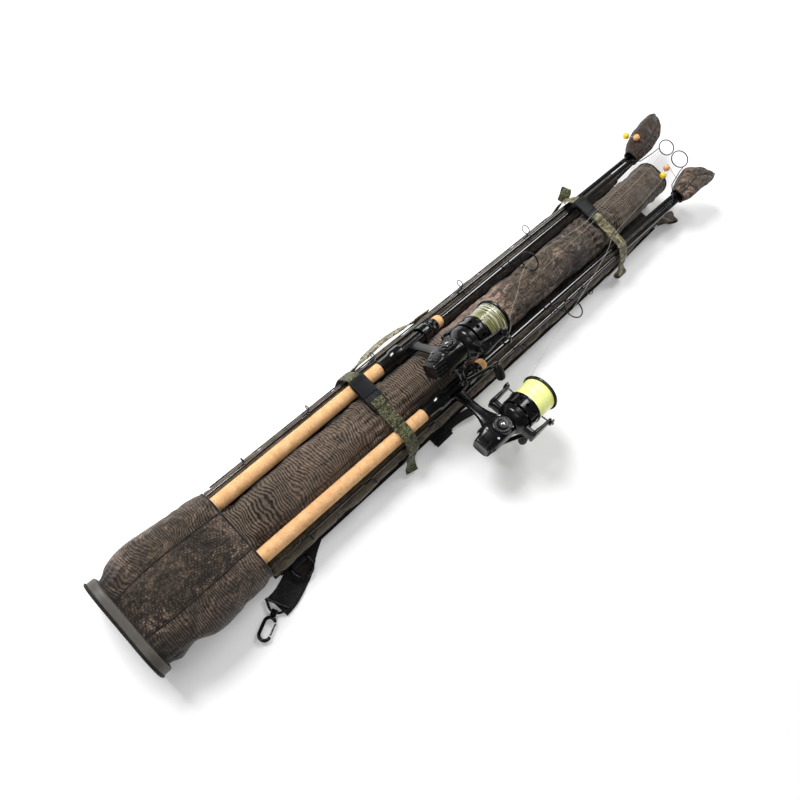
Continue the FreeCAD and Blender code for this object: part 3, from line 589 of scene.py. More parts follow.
def catmull(pts, n=6, closed=False):
    P = [Vector(p) for p in pts]
    m = len(P)
    out = []
    rng = range(m if closed else m - 1)
    for i in rng:
        if closed:
            p0, p1, p2, p3 = P[(i - 1) % m], P[i], P[(i + 1) % m], P[(i + 2) % m]
        else:
            p0, p1, p2, p3 = P[max(i - 1, 0)], P[i], P[i + 1], P[min(i + 2, m - 1)]
        for k in range(n):
            t = k / float(n)
            out.append(0.5 * (2 * p1 + (p2 - p0) * t + (2 * p0 - 5 * p1 + 4 * p2 - p3) * t * t
                              + (3 * p1 - p0 - 3 * p2 + p3) * t ** 3))
    if not closed:
        out.append(P[-1])
    return out


def ribbon(name, pts, side, width, thick, mat, nw=9, edge_stitch=0.0022, ends=6, wave=None, stitch_box=None):
    """Webbing tape along points (metres). side: unit vector (or list) across the
    tape.  Adds a rounded edge section and an attribute for its weave."""
    P = [Vector(p) for p in pts]
    m = len(P)
    S = [Vector(s).normalized() for s in side] if isinstance(side, list) else [Vector(side).normalized()] * m
    verts, tape, stitch = [], [], []
    dist = 0.0
    prof = []
    for k in range(nw):
        v = -1 + 2.0 * k / (nw - 1)
        prof.append((v, 1))
    nn = 2 * nw
    for i, p in enumerate(P):
        if i:
            dist += (p - P[i - 1]).length
        a = P[i - 1] if i > 0 else p
        b = P[i + 1] if i < m - 1 else p
        t = (b - a).normalized()
        s = (S[i] - t * S[i].dot(t)).normalized()
        nrm = t.cross(s)
        for sgn in (1, -1):
            for k in range(nw):
                v = (-1 + 2.0 * k / (nw - 1)) * sgn
                e = max(0.0, (abs(v) - 0.86) / 0.14)
                hh = thick / 2 * math.sqrt(max(0.05, 1 - e * e))
                w = wave(dist, v) if wave else 0.0
                verts.append(p + s * (v * width / 2) + nrm * (sgn * hh + w))
                tape.append((dist, v * width / 2, 0))
                stitch.append(1.0 if (stitch_box and stitch_box(dist, v)) else 0.0)
    faces = grid_faces(m, nn, False, True)
    for base in (0, (m - 1) * nn):
        ids = list(range(base, base + nn))
        for k in range(nw - 1):
            faces.append((ids[k], ids[k + 1], ids[nn - 2 - k], ids[nn - 1 - k]))
    o = make(name, verts, faces, mat, True, {"tape": ("VEC", tape), "stitch": ("FLOAT", stitch)})
    fix_normals(o)
    auto_smooth(o, 50)
    return o


def join(name, objs):
    """Joins meshes (modifiers applied) into one object; keeps their materials."""
    mats = []
    bm = bmesh.new()
    for o in objs:
        if o.modifiers:
            apply_mods(o)
        idx = {}
        for i, mt in enumerate(o.data.materials):
            if mt not in mats:
                mats.append(mt)
            idx[i] = mats.index(mt)
        me = o.data.copy()
        me.transform(o.matrix_world)
        n0 = len(bm.faces)
        bm.from_mesh(me)
        bm.faces.ensure_lookup_table()
        for f in bm.faces[n0:]:
            f.material_index = idx.get(f.material_index, 0)
    me = bpy.data.meshes.new(name)
    bm.to_mesh(me)
    bm.free()
    for mt in mats:
        me.materials.append(mt)
    for o in objs:
        bpy.data.objects.remove(o)
    o = bpy.data.objects.new(name, me)
    scene.collection.objects.link(o)
    return o


def done(o, body, slot=None, *replaced):
    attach(o, body)
    if replaced:
        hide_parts(*replaced)
    return o


# ===========================================================================
# Materials
# ===========================================================================
M_POCKET = camo_cloth("camo_pocket_cloth", "X", 3.9, 0.85, 0.80, 1.25, 0.9, seam_and_shade_attr=True, scale_print=0.72, split=0.037, rib_contrast=1.1)
M_TUBE = camo_cloth("camo_sleeve_cloth", "X", 5.0, 0.95, 0.95, 1.45, 1.1, streak=(0.6, 1.2, 1.2),
                    rib_zone=[(0.0, 0.75), (0.16, 0.9), (0.44, 1.0), (0.50, 0.22), (0.74, 0.10), (0.785, 0.75), (1.0, 0.8)],
                    pink_zone=[(0.0, 0.2), (0.42, 0.25), (0.50, 1.0), (0.72, 1.0), (0.79, 0.4), (1.0, 0.45)], rib_contrast=1.7)
M_SIDE = camo_cloth("camo_side_cloth", "Y", 3.6, 0.55, 0.85, 0.3, 0.6, streak=(0.32, 1.6, 1.6), olive=0.6)
M_PANEL = camo_cloth("camo_back_cloth", "X", 3.4, 0.40, 0.6, 0.4, 0.8)
M_CUP_L = camo_cloth("camo_hood_dark", "Y", 3.0, 0.45, 0.56, 0.8, 1.2, tint=(1.0, 0.80, 0.77, 1.0))
M_CUP_R = camo_cloth("camo_hood_tan", "Y", 3.0, 0.35, 1.1, 1.1, 0.9)
M_PIPE = webbing("piping_tape", [srgb(20, 17, 14), srgb(40, 34, 28), srgb(14, 12, 10)], 1.3, patch_scale=30, rough=0.85)
M_BIND = webbing("binding_tape", [srgb(30, 26, 23), srgb(44, 38, 33), srgb(22, 20, 18)], 1.4, patch_scale=30, rough=0.88)
M_WEB = webbing("camo_webbing", [srgb(136, 128, 96), srgb(98, 94, 62), srgb(176, 164, 138), srgb(58, 52, 36)], 2.6, patch_scale=48)
M_WEB_D = webbing("camo_webbing_dark", [srgb(96, 98, 60), srgb(48, 50, 30), srgb(134, 130, 98), srgb(20, 20, 14)], 2.8, patch_scale=120)
M_WEB_H = webbing("camo_webbing_handle", [srgb(150, 142, 108), srgb(88, 84, 50), srgb(206, 198, 172), srgb(40, 36, 24)], 2.4, patch_scale=80)
M_BLACKWEB = webbing("black_webbing", [srgb(26, 26, 27), srgb(34, 33, 34), srgb(20, 20, 21)], 1.8, rib=0.0042, rough=0.7)
M_ELASTIC = webbing("elastic_tape", [srgb(24, 22, 21), srgb(34, 30, 28), srgb(16, 15, 15)], 1.0, rib=0.0016, rough=0.75)
M_WELT = plastic("welt_tape", srgb(24, 21, 18), 0.85, 240, 0.0, 0.0, 0.5, 0.08)
M_FOOT = plastic("moulded_foot_grey", srgb(72, 68, 63), 0.5, 700, 0.0, 0.4, 0.22, 0.4)
M_SOLE = plastic("moulded_sole_black", srgb(14, 13, 13), 0.6, 500, 0.0, 0.25, 0.25, 0.25)
M_BOARD = plastic("stiffener_board", srgb(18, 17, 16), 0.75, 300, 0.0, 0.2, 0.4, 0.15)
M_BUCKLE = plastic("buckle_plastic", srgb(12, 14, 17), 0.46, 900, 0.0, 0.35, 0.2, 0.22)
M_SEAT = plastic("reel_seat_black", srgb(6, 6, 7), 0.18, 1200, 0.3, 0.3, 0.2, 0.45)
M_KNOB = plastic("knob_rubber", srgb(18, 18, 19), 0.55, 1500, 0.0, 0.3, 0.25, 0.35)
M_SHELL = plastic("reel_shell_black", srgb(7, 7, 8), 0.25, 800, 0.14, 0.35, 0.22, 0.32)
M_RDARK = plastic("reel_anodised_dark", srgb(6, 6, 7), 0.16, 900, 0.3, 0.3, 0.2, 0.5)
M_SILVER = metal("reel_bright_metal", srgb(190, 188, 180), 0.2)
M_BLACKMET = metal("black_nickel", srgb(48, 48, 51), 0.24)
M_STEEL = metal("steel_wire", srgb(128, 128, 130), 0.2)


def cork_mat():
    k = Mat("cork_grip")
    v = k.obj()
    n1 = k.noise(v, 70, 5, 0.65, 0.4)
    n2 = k.noise(v, 330, 4, 0.7)
    c = k.mix(k.ramp(n1, [(0.32, 0.0), (0.68, 1.0)]), srgb(216, 164, 108), srgb(244, 200, 148))
    c = k.mix(k.math("MULTIPLY", k.ramp(n2, [(0.40, 0.0), (0.66, 1.0)]), 0.45), c, srgb(188, 138, 92))
    # stacked rings, each a slightly different tone
    s = k.sep(v)
    ring = k.math("FLOOR", k.math("DIVIDE", s[0], 0.0127))
    wn = k.new("ShaderNodeTexWhiteNoise")
    wn.noise_dimensions = "1D"
    k.link(ring, wn.inputs["W"])
    c = k.mix(k.math("MULTIPLY", wn.outputs["Value"], 0.20), c, srgb(196, 148, 102))
    fr = k.math("FRACT", k.math("DIVIDE", s[0], 0.0127))
    edge = k.ramp(fr, [(0.0, 1.0), (0.035, 0.0), (0.965, 0.0), (1.0, 1.0)])
    c = k.mix(k.math("MULTIPLY", edge, 0.35), c, srgb(150, 106, 70))
    # pits and dark flecks
    d = k.voro(k.map(v, scale=(1, 1, 0.6)), 240, "F1", "Distance")
    gate = k.ramp(k.noise(v, 130, 3, 0.6), [(0.54, 0.0), (0.60, 1.0)])
    pit = k.math("MULTIPLY", k.ramp(d, [(0.10, 1.0), (0.30, 0.0)]), gate)
    c = k.mix(k.math("MULTIPLY", pit, 0.85), c, srgb(92, 58, 36))
    d2 = k.voro(k.map(v, scale=(0.7, 1.6, 1.6)), 60, "F1", "Distance")
    long_ = k.ramp(d2, [(0.03, 1.0), (0.09, 0.0)])
    c = k.mix(k.math("MULTIPLY", long_, 0.7), c, srgb(110, 72, 46))
    c = k.mix(k.math("MULTIPLY", k.ramp(k.noise(v, 9, 3, 0.6), [(0.5, 0.0), (0.8, 1.0)]), 0.25), c, srgb(178, 140, 108))
    nb = k.bump(k.math("SUBTRACT", 1.0, pit), 0.5, 0.0006)
    nb = k.bump(n2, 0.25, 0.0005, nb)
    nb = k.bump(k.math("SUBTRACT", 1.0, edge), 0.2, 0.0002, nb)
    return k.set(color=c, rough=k.math("ADD", 0.62, k.math("MULTIPLY", n2, 0.2)), normal=nb, spec=0.35, sss=0.0)


M_CORK = cork_mat()


def blank_mat():
    k = Mat("rod_blank_gloss")
    v = k.obj()
    tow = k.wave(k.map(v, rot=(0, 0, 0.0), scale=(1, 1, 1)), 0.31416 / 0.0025, "X", 1.5, 3.0)
    c = k.mix(k.math("MULTIPLY", tow, 0.5), srgb(8, 8, 9), srgb(18, 19, 22))
    c = k.mix(k.math("MULTIPLY", k.ramp(k.noise(v, 40, 3), [(0.5, 0.0), (0.7, 1.0)]), 0.3), c, srgb(26, 28, 32))
    nb = k.bump(k.noise(v, 180, 2), 0.04, 0.0004)
    return k.set(color=c, rough=0.14, coat=0.8, coat_rough=0.05, normal=nb, spec=0.5)


M_BLANK = blank_mat()


def wrap_mat():
    k = Mat("thread_wrap")
    v = k.obj()
    th = k.wave(v, 0.31416 / 0.0004, "X", 0.0)
    c = k.mix(th, srgb(10, 10, 11), srgb(30, 28, 30))
    nb = k.bump(th, 0.2, 0.0002)
    return k.set(color=c, rough=0.18, coat=1.0, coat_rough=0.06, normal=nb)


M_WRAP = wrap_mat()


def line_mat(name, a, b, c3, rough=0.28, glow=0.0, clear=False):
    """Line wound on a spool: fine turns, crossing lay and tone bands; optionally painted highlight and dark streaks, or
    a painted glow.
    """
    k = Mat(name)
    v = k.attr("turn").outputs["Vector"]
    s = k.sep(v)
    turns = k.math("MULTIPLY_ADD", k.math("SINE", k.math("MULTIPLY", k.math("ADD", s[0], k.math("MULTIPLY", s[1], 0.12)), 2 * math.pi / 0.00095)), 0.5, 0.5)
    cross = k.math("MULTIPLY_ADD", k.math("SINE", k.math("MULTIPLY", k.math("SUBTRACT", s[0], k.math("MULTIPLY", s[1], 1.4)), 2 * math.pi / 0.0065)), 0.5, 0.5)
    n = k.noise(k.map(v, scale=(1, 0.15, 1)), 220, 4, 0.6)
    col = k.mix(k.ramp(n, [(0.35, 0.0), (0.65, 1.0)]), a, b)
    col = k.mix(k.math("MULTIPLY", k.math("SUBTRACT", 1.0, turns), 0.45), col, c3)
    col = k.mix(k.math("MULTIPLY", k.ramp(cross, [(0.6, 0.0), (0.95, 1.0)]), 0.25), col, b)
    nb = k.bump(k.math("ADD", k.math("MULTIPLY", turns, 0.7), k.math("MULTIPLY", cross, 0.3)), 0.6, 0.0004)
    if clear:
        # painted highlight and painted dark reflection: bright and dark streaks side by side in the colour, strongest
        # towards the lip
        along = k.math("DIVIDE", k.math("SUBTRACT", s[0], 0.0623), 0.0403, clamp=True)
        band = k.noise(k.map(v, scale=(1, 0.05, 1)), 430, 2, 0.5)
        painted_streak_mask = k.ramp(along, [(0.18, 0.10), (0.62, 1.0)])
        col = k.mix(k.math("MULTIPLY", k.ramp(band, [(0.52, 0.0), (0.60, 1.0)]), k.math("MULTIPLY", painted_streak_mask, 0.85)), col, srgb(232, 230, 216))
        col = k.mix(k.math("MULTIPLY", k.ramp(band, [(0.38, 1.0), (0.47, 0.0)]), k.math("MULTIPLY", painted_streak_mask, 0.92)), col, srgb(16, 16, 10))
        return k.set(color=col, rough=rough, normal=nb, coat=0.7, coat_rough=0.12, spec=0.7)
    # painted glow: the line emits light in its own base colour though it is no lamp, which makes it brighter
    if glow:
        return k.set(color=col, rough=rough, normal=nb, coat=0.3, coat_rough=0.2, spec=0.6, emit=glow, emit_color=(a[0], a[1], a[2]))
    return k.set(color=col, rough=rough, normal=nb, coat=0.3, coat_rough=0.2, spec=0.6)


# the olive line gets painted highlight and dark streaks (last argument True)
M_LINE_L = line_mat("mono_line_olive", srgb(84, 84, 34), srgb(150, 148, 84), srgb(10, 10, 5), 0.12, 0.0, True)
# painted glow on the yellow line (emission 0.20)
M_LINE_R = line_mat("bright_line_yellow", srgb(240, 249, 112), srgb(255, 254, 218), srgb(214, 222, 62), 0.28, 0.20)


def strand_mat():
    k = Mat("line_strand")
    v = k.obj()
    c = k.mix(k.noise(v, 50, 2), srgb(150, 150, 132), srgb(196, 194, 176))
    return k.set(color=c, rough=0.2, coat=0.5, spec=0.7)


M_STRAND = strand_mat()


def bait_mat(name, a, b):
    k = Mat(name)
    v = k.obj()
    n = k.noise(v, 300, 4, 0.65)
    d = k.voro(v, 700, "F1", "Distance")
    c = k.mix(k.ramp(n, [(0.35, 0.0), (0.7, 1.0)]), a, b)
    c = k.mix(k.math("MULTIPLY", k.ramp(d, [(0.0, 1.0), (0.3, 0.0)]), 0.25), c, tuple(x * 0.5 for x in a))
    nb = k.bump(n, 0.5, 0.0006)
    return k.set(color=c, rough=0.5, normal=nb, sss=0.0, coat=0.15)


M_BAIT_Y = bait_mat("bait_yellow", srgb(246, 192, 8), srgb(255, 218, 40))
M_BAIT_O = bait_mat("bait_orange", srgb(214, 112, 44), srgb(250, 206, 150))


# ===========================================================================
# Soft shells
# ===========================================================================
def rr_ring(w, lo, hi, r, mid, n):
    """n points spread evenly round a rounded rectangle, starting at the middle of
    the underside and running to +y.  Returns (y, z) in millimetres."""
    h = hi - lo
    r = min(r, w / 2 - 0.01, h / 2 - 0.01)
    segs = []
    x0, x1 = -w / 2, w / 2
    segs.append(("L", (0, lo), (x1 - r, lo)))
    segs.append(("A", (x1 - r, lo + r), -90, 0))
    segs.append(("L", (x1, lo + r), (x1, hi - r)))
    segs.append(("A", (x1 - r, hi - r), 0, 90))
    segs.append(("L", (x1 - r, hi), (x0 + r, hi)))
    segs.append(("A", (x0 + r, hi - r), 90, 180))
    segs.append(("L", (x0, hi - r), (x0, lo + r)))
    segs.append(("A", (x0 + r, lo + r), 180, 270))
    segs.append(("L", (x0 + r, lo), (0, lo)))
    lens = []
    for s in segs:
        if s[0] == "L":
            lens.append(math.hypot(s[2][0] - s[1][0], s[2][1] - s[1][1]))
        else:
            lens.append(r * math.pi / 2)
    tot = sum(lens)
    out = []
    for i in range(n):
        d = tot * i / n
        for s, l in zip(segs, lens):
            if d <= l + 1e-9:
                t = d / l if l > 1e-9 else 0
                if s[0] == "L":
                    p = (s[1][0] + (s[2][0] - s[1][0]) * t, s[1][1] + (s[2][1] - s[1][1]) * t)
                else:
                    a = math.radians(s[2] + (s[3] - s[2]) * t)
                    p = (s[1][0] + r * math.cos(a), s[1][1] + r * math.sin(a))
                out.append((p[0] + mid, p[1]))
                break
            d -= l
        else:
            out.append((mid, lo))
    return out


def interp_sections(secs, xs):
    """Monotone smooth interpolation of section rows (x, values...)."""
    A = np.array(secs, float)
    X = A[:, 0]
    out = []
    n = len(X)
    m = np.zeros_like(A)
    for i in range(n):
        if i == 0:
            m[i] = (A[1] - A[0]) / (X[1] - X[0])
        elif i == n - 1:
            m[i] = (A[-1] - A[-2]) / (X[-1] - X[-2])
        else:
            d0 = (A[i] - A[i - 1]) / (X[i] - X[i - 1])
            d1 = (A[i + 1] - A[i]) / (X[i + 1] - X[i])
            m[i] = np.where(d0 * d1 > 0, 2 * d0 * d1 / (d0 + d1 + 1e-12), 0)
    for x in xs:
        k = min(max(np.searchsorted(X, x) - 1, 0), n - 2)
        h = X[k + 1] - X[k]
        t = min(max((x - X[k]) / h, 0), 1)
        v = ((2 * t ** 3 - 3 * t ** 2 + 1) * A[k] + (t ** 3 - 2 * t ** 2 + t) * h * m[k]
             + (-2 * t ** 3 + 3 * t ** 2) * A[k + 1] + (t ** 3 - t ** 2) * h * m[k + 1])
        out.append([float(q) for q in v[1:]])
    return out


def shell(name, secs, nx, nv, mat, caps=(False, False), inset=0.0, xs=None):
    x0, x1 = secs[0][0], secs[-1][0]
    if xs is None:
        xs = [x0 + (x1 - x0) * i / (nx - 1) for i in range(nx)]
    nx = len(xs)
    rows = interp_sections(secs, xs)
    verts = []
    for x, (w, lo, hi, r, mid) in zip(xs, rows):
        for (y, z) in rr_ring(w - 2 * inset, lo + inset, hi - inset, max(r - inset, 2), mid, nv):
            verts.append(F(x, y, z))
    faces = grid_faces(nx, nv, False, True)
    for end, flag in ((0, caps[0]), (nx - 1, caps[1])):
        if not flag:
            continue
        # concentric rings closing the end
        base = end * nv
        c = Vector((0, 0, 0))
        for j in range(nv):
            c += verts[base + j]
        c /= nv
        prev = [base + j for j in range(nv)]
        sgn = -1 if end == 0 else 1
        w = rows[0 if end == 0 else -1]
        rad = min(w[0], w[2] - w[1]) / 2 / 1000.0
        for s in (0.78, 0.52, 0.26):
            cur = []
            for j in range(nv):
                cur.append(len(verts))
                p = c + (verts[base + j] - c) * s
                p.x += sgn * rad * 0.22 * (1 - s * s)
                verts.append(p)
            for j in range(nv):
                faces.append((prev[j], prev[(j + 1) % nv], cur[(j + 1) % nv], cur[j]))
            prev = cur
        ci = len(verts)
        verts.append(c + Vector((sgn * rad * 0.22, 0, 0)))
        for j in range(nv):
            faces.append((prev[j], prev[(j + 1) % nv], ci))
    o = make(name, verts, faces, mat)
    fix_normals(o)
    # open shells: normals must face away from the axis
    me = o.data
    p = me.polygons[nv // 4 + (nx // 2) * nv]
    if p.normal.y * (p.center.y - rows[len(rows) // 2][4] / 1000.0) < 0:
        me.flip_normals()
    return o, xs


def coords(o):
    a = np.empty(len(o.data.vertices) * 3, np.float32)
    o.data.vertices.foreach_get("co", a)
    return a.reshape(-1, 3).astype(float)


def set_coords(o, a):
    o.data.vertices.foreach_set("co", np.asarray(a, np.float32).ravel())
    o.data.update()


def normals(o):
    a = np.empty(len(o.data.vertices) * 3, np.float32)
    o.data.vertices.foreach_get("normal", a)
    return a.reshape(-1, 3).astype(float)


def cloth(o, pin, pressure=4.0, frames=18, cap=0.010, shrink=-0.02, bend=0.4, stiff=12.0, quality=4):
    """Inflates the piece by Blender's cloth with pinned points; the result is
    written into the mesh and the modifier is removed."""
    rest = coords(o)
    vg = o.vertex_groups.new(name="pin")
    for i, w in enumerate(pin):
        if w > 0:
            vg.add([i], float(w), "REPLACE")
    m = o.modifiers.new("Cloth", "CLOTH")
    s = m.settings
    s.quality = quality
    s.mass = 0.15
    s.tension_stiffness = stiff
    s.compression_stiffness = stiff
    s.shear_stiffness = stiff * 0.4
    s.bending_stiffness = bend
    s.air_damping = 4.0
    s.use_pressure = True
    s.uniform_pressure_force = pressure
    s.effector_weights.gravity = 0.0
    s.vertex_group_mass = "pin"
    s.shrink_min = shrink
    s.shrink_max = shrink
    m.collision_settings.use_collision = False
    m.collision_settings.use_self_collision = False
    m.point_cache.frame_start = 1
    m.point_cache.frame_end = frames
    scene.frame_start, scene.frame_end = 1, frames
    for f in range(1, frames + 1):
        scene.frame_set(f)
    dg = bpy.context.evaluated_depsgraph_get()
    ev = o.evaluated_get(dg).data
    a = np.empty(len(ev.vertices) * 3, np.float32)
    ev.vertices.foreach_get("co", a)
    a = a.reshape(-1, 3).astype(float)
    o.modifiers.remove(m)
    o.vertex_groups.remove(vg)
    scene.frame_set(1)
    bad = ~np.isfinite(a).all(axis=1)
    a[bad] = rest[bad]
    d = a - rest
    L = np.linalg.norm(d, axis=1, keepdims=True)
    d *= np.minimum(1.0, cap / np.maximum(L, 1e-9))
    set_coords(o, rest + d)
    return o


def fbm(P, scale, seed=0.0, octaves=3):
    out = np.empty(len(P))
    for i, p in enumerate(P):
        out[i] = noise.fractal(Vector((p[0] * scale[0] + seed, p[1] * scale[1] + seed * 0.7, p[2] * scale[2] - seed)),
                               1.0, 2.0, octaves)
    return out


def push_off(a, p0, p1, r0, r1, gap=0.0008):
    """Moves points that lie inside a tapered rod out to its surface."""
    p0, p1 = np.array(p0), np.array(p1)
    ax = p1 - p0
    L = np.linalg.norm(ax)
    ax /= L
    t = (a - p0) @ ax
    foot = p0 + np.outer(np.clip(t, 0, L), ax)
    d = a - foot
    n = np.linalg.norm(d, axis=1)
    r = r0 + (r1 - r0) * np.clip(t / L, 0, 1) + gap
    m = (n < r) & (t > -0.002) & (t < L + 0.002)
    a[m] = foot[m] + d[m] / np.maximum(n[m], 1e-9)[:, None] * r[m][:, None]
    return a


YAW = math.radians(0.36)
ROD_M, REEL_M, TIP_M = {}, {}, {}
for side, sg in (("left", 1), ("right", -1)):
    X = Vector((math.cos(YAW), sg * math.sin(YAW), 0))
    Y = Vector((-sg * math.sin(YAW), math.cos(YAW), 0))
    ROD_M[side] = frame_of(X, Y, Vector((0, 0, 1)), F(14, sg * 51.7, 71))
    REEL_M[side] = ROD_M[side] @ Matrix.Translation((0.626, 0, 0)) @ Matrix.Rotation(math.radians(132 if sg > 0 else 168), 4, "X")
    d = Vector((1372, -sg * 9.5, 5)).normalized()
    q = Vector((1, 0, 0)).rotation_difference(d).to_matrix().to_4x4()
    TIP_M[side] = ROD_M[side] @ Matrix.Translation((0.048, sg * 0.022, -0.009)) @ q


def clear_rods(o, gap=0.0008):
    a = coords(o)
    for side in ("left", "right"):
        R = ROD_M[side]
        pt = lambda x: tuple(R @ Vector((x / 1000.0, 0, 0)))
        a = push_off(a, pt(13), pt(706), 0.0126, 0.0119, gap)
        a = push_off(a, pt(578), pt(606), 0.0158, 0.0158, gap)
        a = push_off(a, pt(640), pt(690), 0.0158, 0.0158, gap)
        a = push_off(a, pt(706), pt(1424), 0.0068, 0.0055, gap)
        T = TIP_M[side]
        tp = lambda x: tuple(T @ Vector((x / 1000.0, 0, 0)))
        a = push_off(a, tp(0), tp(1374), 0.0016, 0.0055, gap)
    set_coords(o, a)
    return o


def add_attr(o, name, vals):
    at = o.data.attributes.new(name, "FLOAT", "POINT")
    at.data.foreach_set("value", np.asarray(vals, np.float32))


# ---- foot -----------------------------------------------------------------
def foot_piece(name, rows, mat, nv=160, tread=False):
    """rows: (x, width, lo, hi, radius) mm, from the outside end inwards; both ends closed."""
    verts, faces = [], []
    for (x, w, lo, hi, r) in rows:
        for (y, z) in rr_ring(w, lo, hi, r, 0, nv):
            verts.append(F(x, y, z))
    n = len(rows)
    faces += grid_faces(n, nv, False, True)
    for base in (0, (n - 1) * nv):
        c = len(verts)
        s = Vector((0, 0, 0))
        for j in range(nv):
            s += verts[base + j]
        verts.append(s / nv)
        for j in range(nv):
            faces.append((base + j, base + (j + 1) % nv, c))
    o = make(name, verts, faces, mat)
    fix_normals(o)
    auto_smooth(o, 30)
    return o


sole_rows = [(0.0, 120, 26, 74, 22), (0.0, 160, 6, 94, 38), (0.35, 168, 2, 98, 41), (1.2, 171, 0.5, 99.5, 42.5), (2.2, 172, 0, 100, 43),
             (3.2, 172, 0, 100, 43), (3.9, 171, 0.5, 99.5, 42.5), (4.0, 168, 2, 98, 41)]
o = foot_piece("foot_sole", sole_rows, M_SOLE)
done(o, "case", "foot_black", "base_sole")

tray_rows = [(4.0, 165, 3.5, 96.5, 39.5), (4.3, 167, 2.5, 97.5, 40.5), (5.2, 168, 2, 98, 41), (7.6, 168, 2, 98, 41),
             (8.1, 167.9, 2.05, 97.95, 40.9), (8.5, 167.8, 2.1, 97.9, 40.9), (9.0, 167.9, 2.05, 97.95, 40.9), (9.5, 168, 2, 98, 41),
             (14.6, 168, 2, 98, 41), (15.8, 167.4, 2.3, 97.7, 40.7), (16.8, 165.6, 3.2, 96.8, 39.8), (17.4, 163, 4.5, 95.5, 38.5),
             (17.5, 160.4, 5.8, 94.2, 37.2), (17.2, 158.6, 6.7, 93.3, 36.3), (16.2, 158, 7, 93, 36), (8.2, 158, 7, 93, 36), (8.0, 156, 8, 92, 35)]
o = foot_piece("foot_tray", tray_rows, M_FOOT)
done(o, "case", "foot_grey", "base_tray")

# ---- butt pocket ------------------------------------------------------------
PK = [(8.4, 156, 7.6, 92.4, 34), (18.5, 156.6, 7.4, 92.6, 34.5), (24, 158.5, 6.0, 93.6, 35), (34, 166, 3.2, 97.0, 38), (58, 175, 1.4, 101.6, 40),
      (90, 180, 0.5, 103.6, 42), (150, 176, 0.6, 99.5, 40), (200, 168, 0.8, 95, 38)]
PK = [r + (0,) for r in PK]
NVP = 150
pxs = [8.4, 13, 18.5, 21, 23.5] + [26 + 3.9 * i for i in range(44)] + [196.6, 200]
o, xs = shell("butt_pocket_cloth", PK, 0, NVP, M_POCKET, inset=2.0, xs=pxs)
a = coords(o).reshape(len(xs), NVP, 3)
ring = a[20]


def column_at(ringpts, y, top=True, skip=None):
    best, bi = 9, 0
    for j, p in enumerate(ringpts):
        if (p[2] > FLOOR + 0.05) == top:
            d = abs(p[1] - y / 1000.0)
            if d < best:
                best, bi = d, j
    return bi


seam_cols = [column_at(ring, 37), column_at(ring, -37), column_at(ring, 62, False), column_at(ring, -62, False)]
pin = np.zeros((len(xs), NVP))
for i, x in enumerate(xs):
    if x <= 21:
        pin[i, :] = 1.0
    elif x <= 26:
        pin[i, :] = 0.7
    if x >= 196:
        pin[i, :] = 1.0
for j in seam_cols:
    pin[:, j] = np.maximum(pin[:, j], 0.92)
under = a[:, :, 2] < FLOOR + 0.006
pin[under] = np.maximum(pin[under], 0.9)
cloth(o, pin.ravel(), 5.5, 18, 0.0055, -0.022, 0.25, 10)
a = coords(o)
nr = normals(o)
gx = np.repeat(np.array(xs), NVP)
jj = np.tile(np.arange(NVP), len(xs))
fade = np.clip((gx - 22) / 22, 0, 1) * np.clip((200 - gx) / 14, 0, 1)
w1 = fbm(a, (26, 26, 26), 3.1)
w2 = fbm(a, (9, 60, 60), 7.7)
gath = np.sin(jj / NVP * 2 * math.pi * 34 + 2.2 * fbm(a, (20, 20, 20), 1.7)) * np.exp(-((gx - 27) / 13.0) ** 2)
disp = (w1 * 0.0016 + w2 * 0.0009) * fade + gath * 0.0011 * np.clip((gx - 19) / 6, 0, 1)
seamd = np.full(len(a), 9.0)
for j in seam_cols:
    seamd = np.minimum(seamd, np.abs((jj - j + NVP / 2) % NVP - NVP / 2) * 3.4)
disp -= 0.0012 * np.exp(-(seamd / 3.2) ** 2) * np.clip((gx - 20) / 6, 0, 1)
top = nr[:, 2] > -0.4
a += nr * (disp * top)[:, None]
# undercut and low fold on the right flank just above the foot
zz = (a[:, 2] - FLOOR) * 1000
lowf = np.clip((86 - zz) / 26.0, 0, 1)
right = np.clip((-a[:, 1] - 0.040) / 0.02, 0, 1)
a[:, 1] += 0.0115 * np.exp(-((gx - 62) / 21.0) ** 2) * lowf * right
a[:, 1] -= 0.0050 * np.exp(-((gx - 37) / 9.0) ** 2) * np.clip((34 - zz) / 16.0, 0, 1) * right * np.clip((gx - 22) / 6, 0, 1)
left = np.clip((a[:, 1] - 0.040) / 0.02, 0, 1)
a[:, 1] += 0.0055 * np.exp(-((gx - 66) / 26.0) ** 2) * left * np.clip((gx - 22) / 6, 0, 1) * np.clip((92 - zz) / 20.0, 0, 1)
a[:, 2] = np.maximum(a[:, 2], FLOOR + 0.0004)
set_coords(o, a)
clear_rods(o)
# painted shade: the lower corners just above the foot are darkened through the seam attribute, where the undercut lies
# in shadow
corner_painted_shade = np.exp(-((gx - 32) / 13.0) ** 2) * np.clip((np.abs(a[:, 1]) - 0.045) / 0.02, 0, 1) * 0.75
add_attr(o, "seam", corner_painted_shade + np.exp(-(seamd / 2.2) ** 2) * 0.7 + np.exp(-((gx - 20) / 4.0) ** 2) * 0.8 + np.exp(-((gx - 200) / 3.0) ** 2) * 0.5)
st = ((np.abs(seamd - 6.8) < 1.7) & (gx > 24)).astype(float) * 0.0
add_attr(o, "stitch", st)
A = coords(o).reshape(len(xs), NVP, 3)
solid(o, 0.0026, -1)
subsurf(o, 1)
apply_mods(o)
done(o, "case", "camo_cloth", "butt_pocket")

# piping along the two front seams and the mouth binding
parts = []
for c in seam_cols[:2]:
    pts = [Vector(A[i, c]) + Vector((0, 0, 0.0009)) for i in range(4, len(xs) - 1)]
    parts.append(tube("pipe", pts, 0.0010, M_PIPE, 8))
o = join("butt_pocket_piping", parts)
done(o, "case", "camo_cloth")


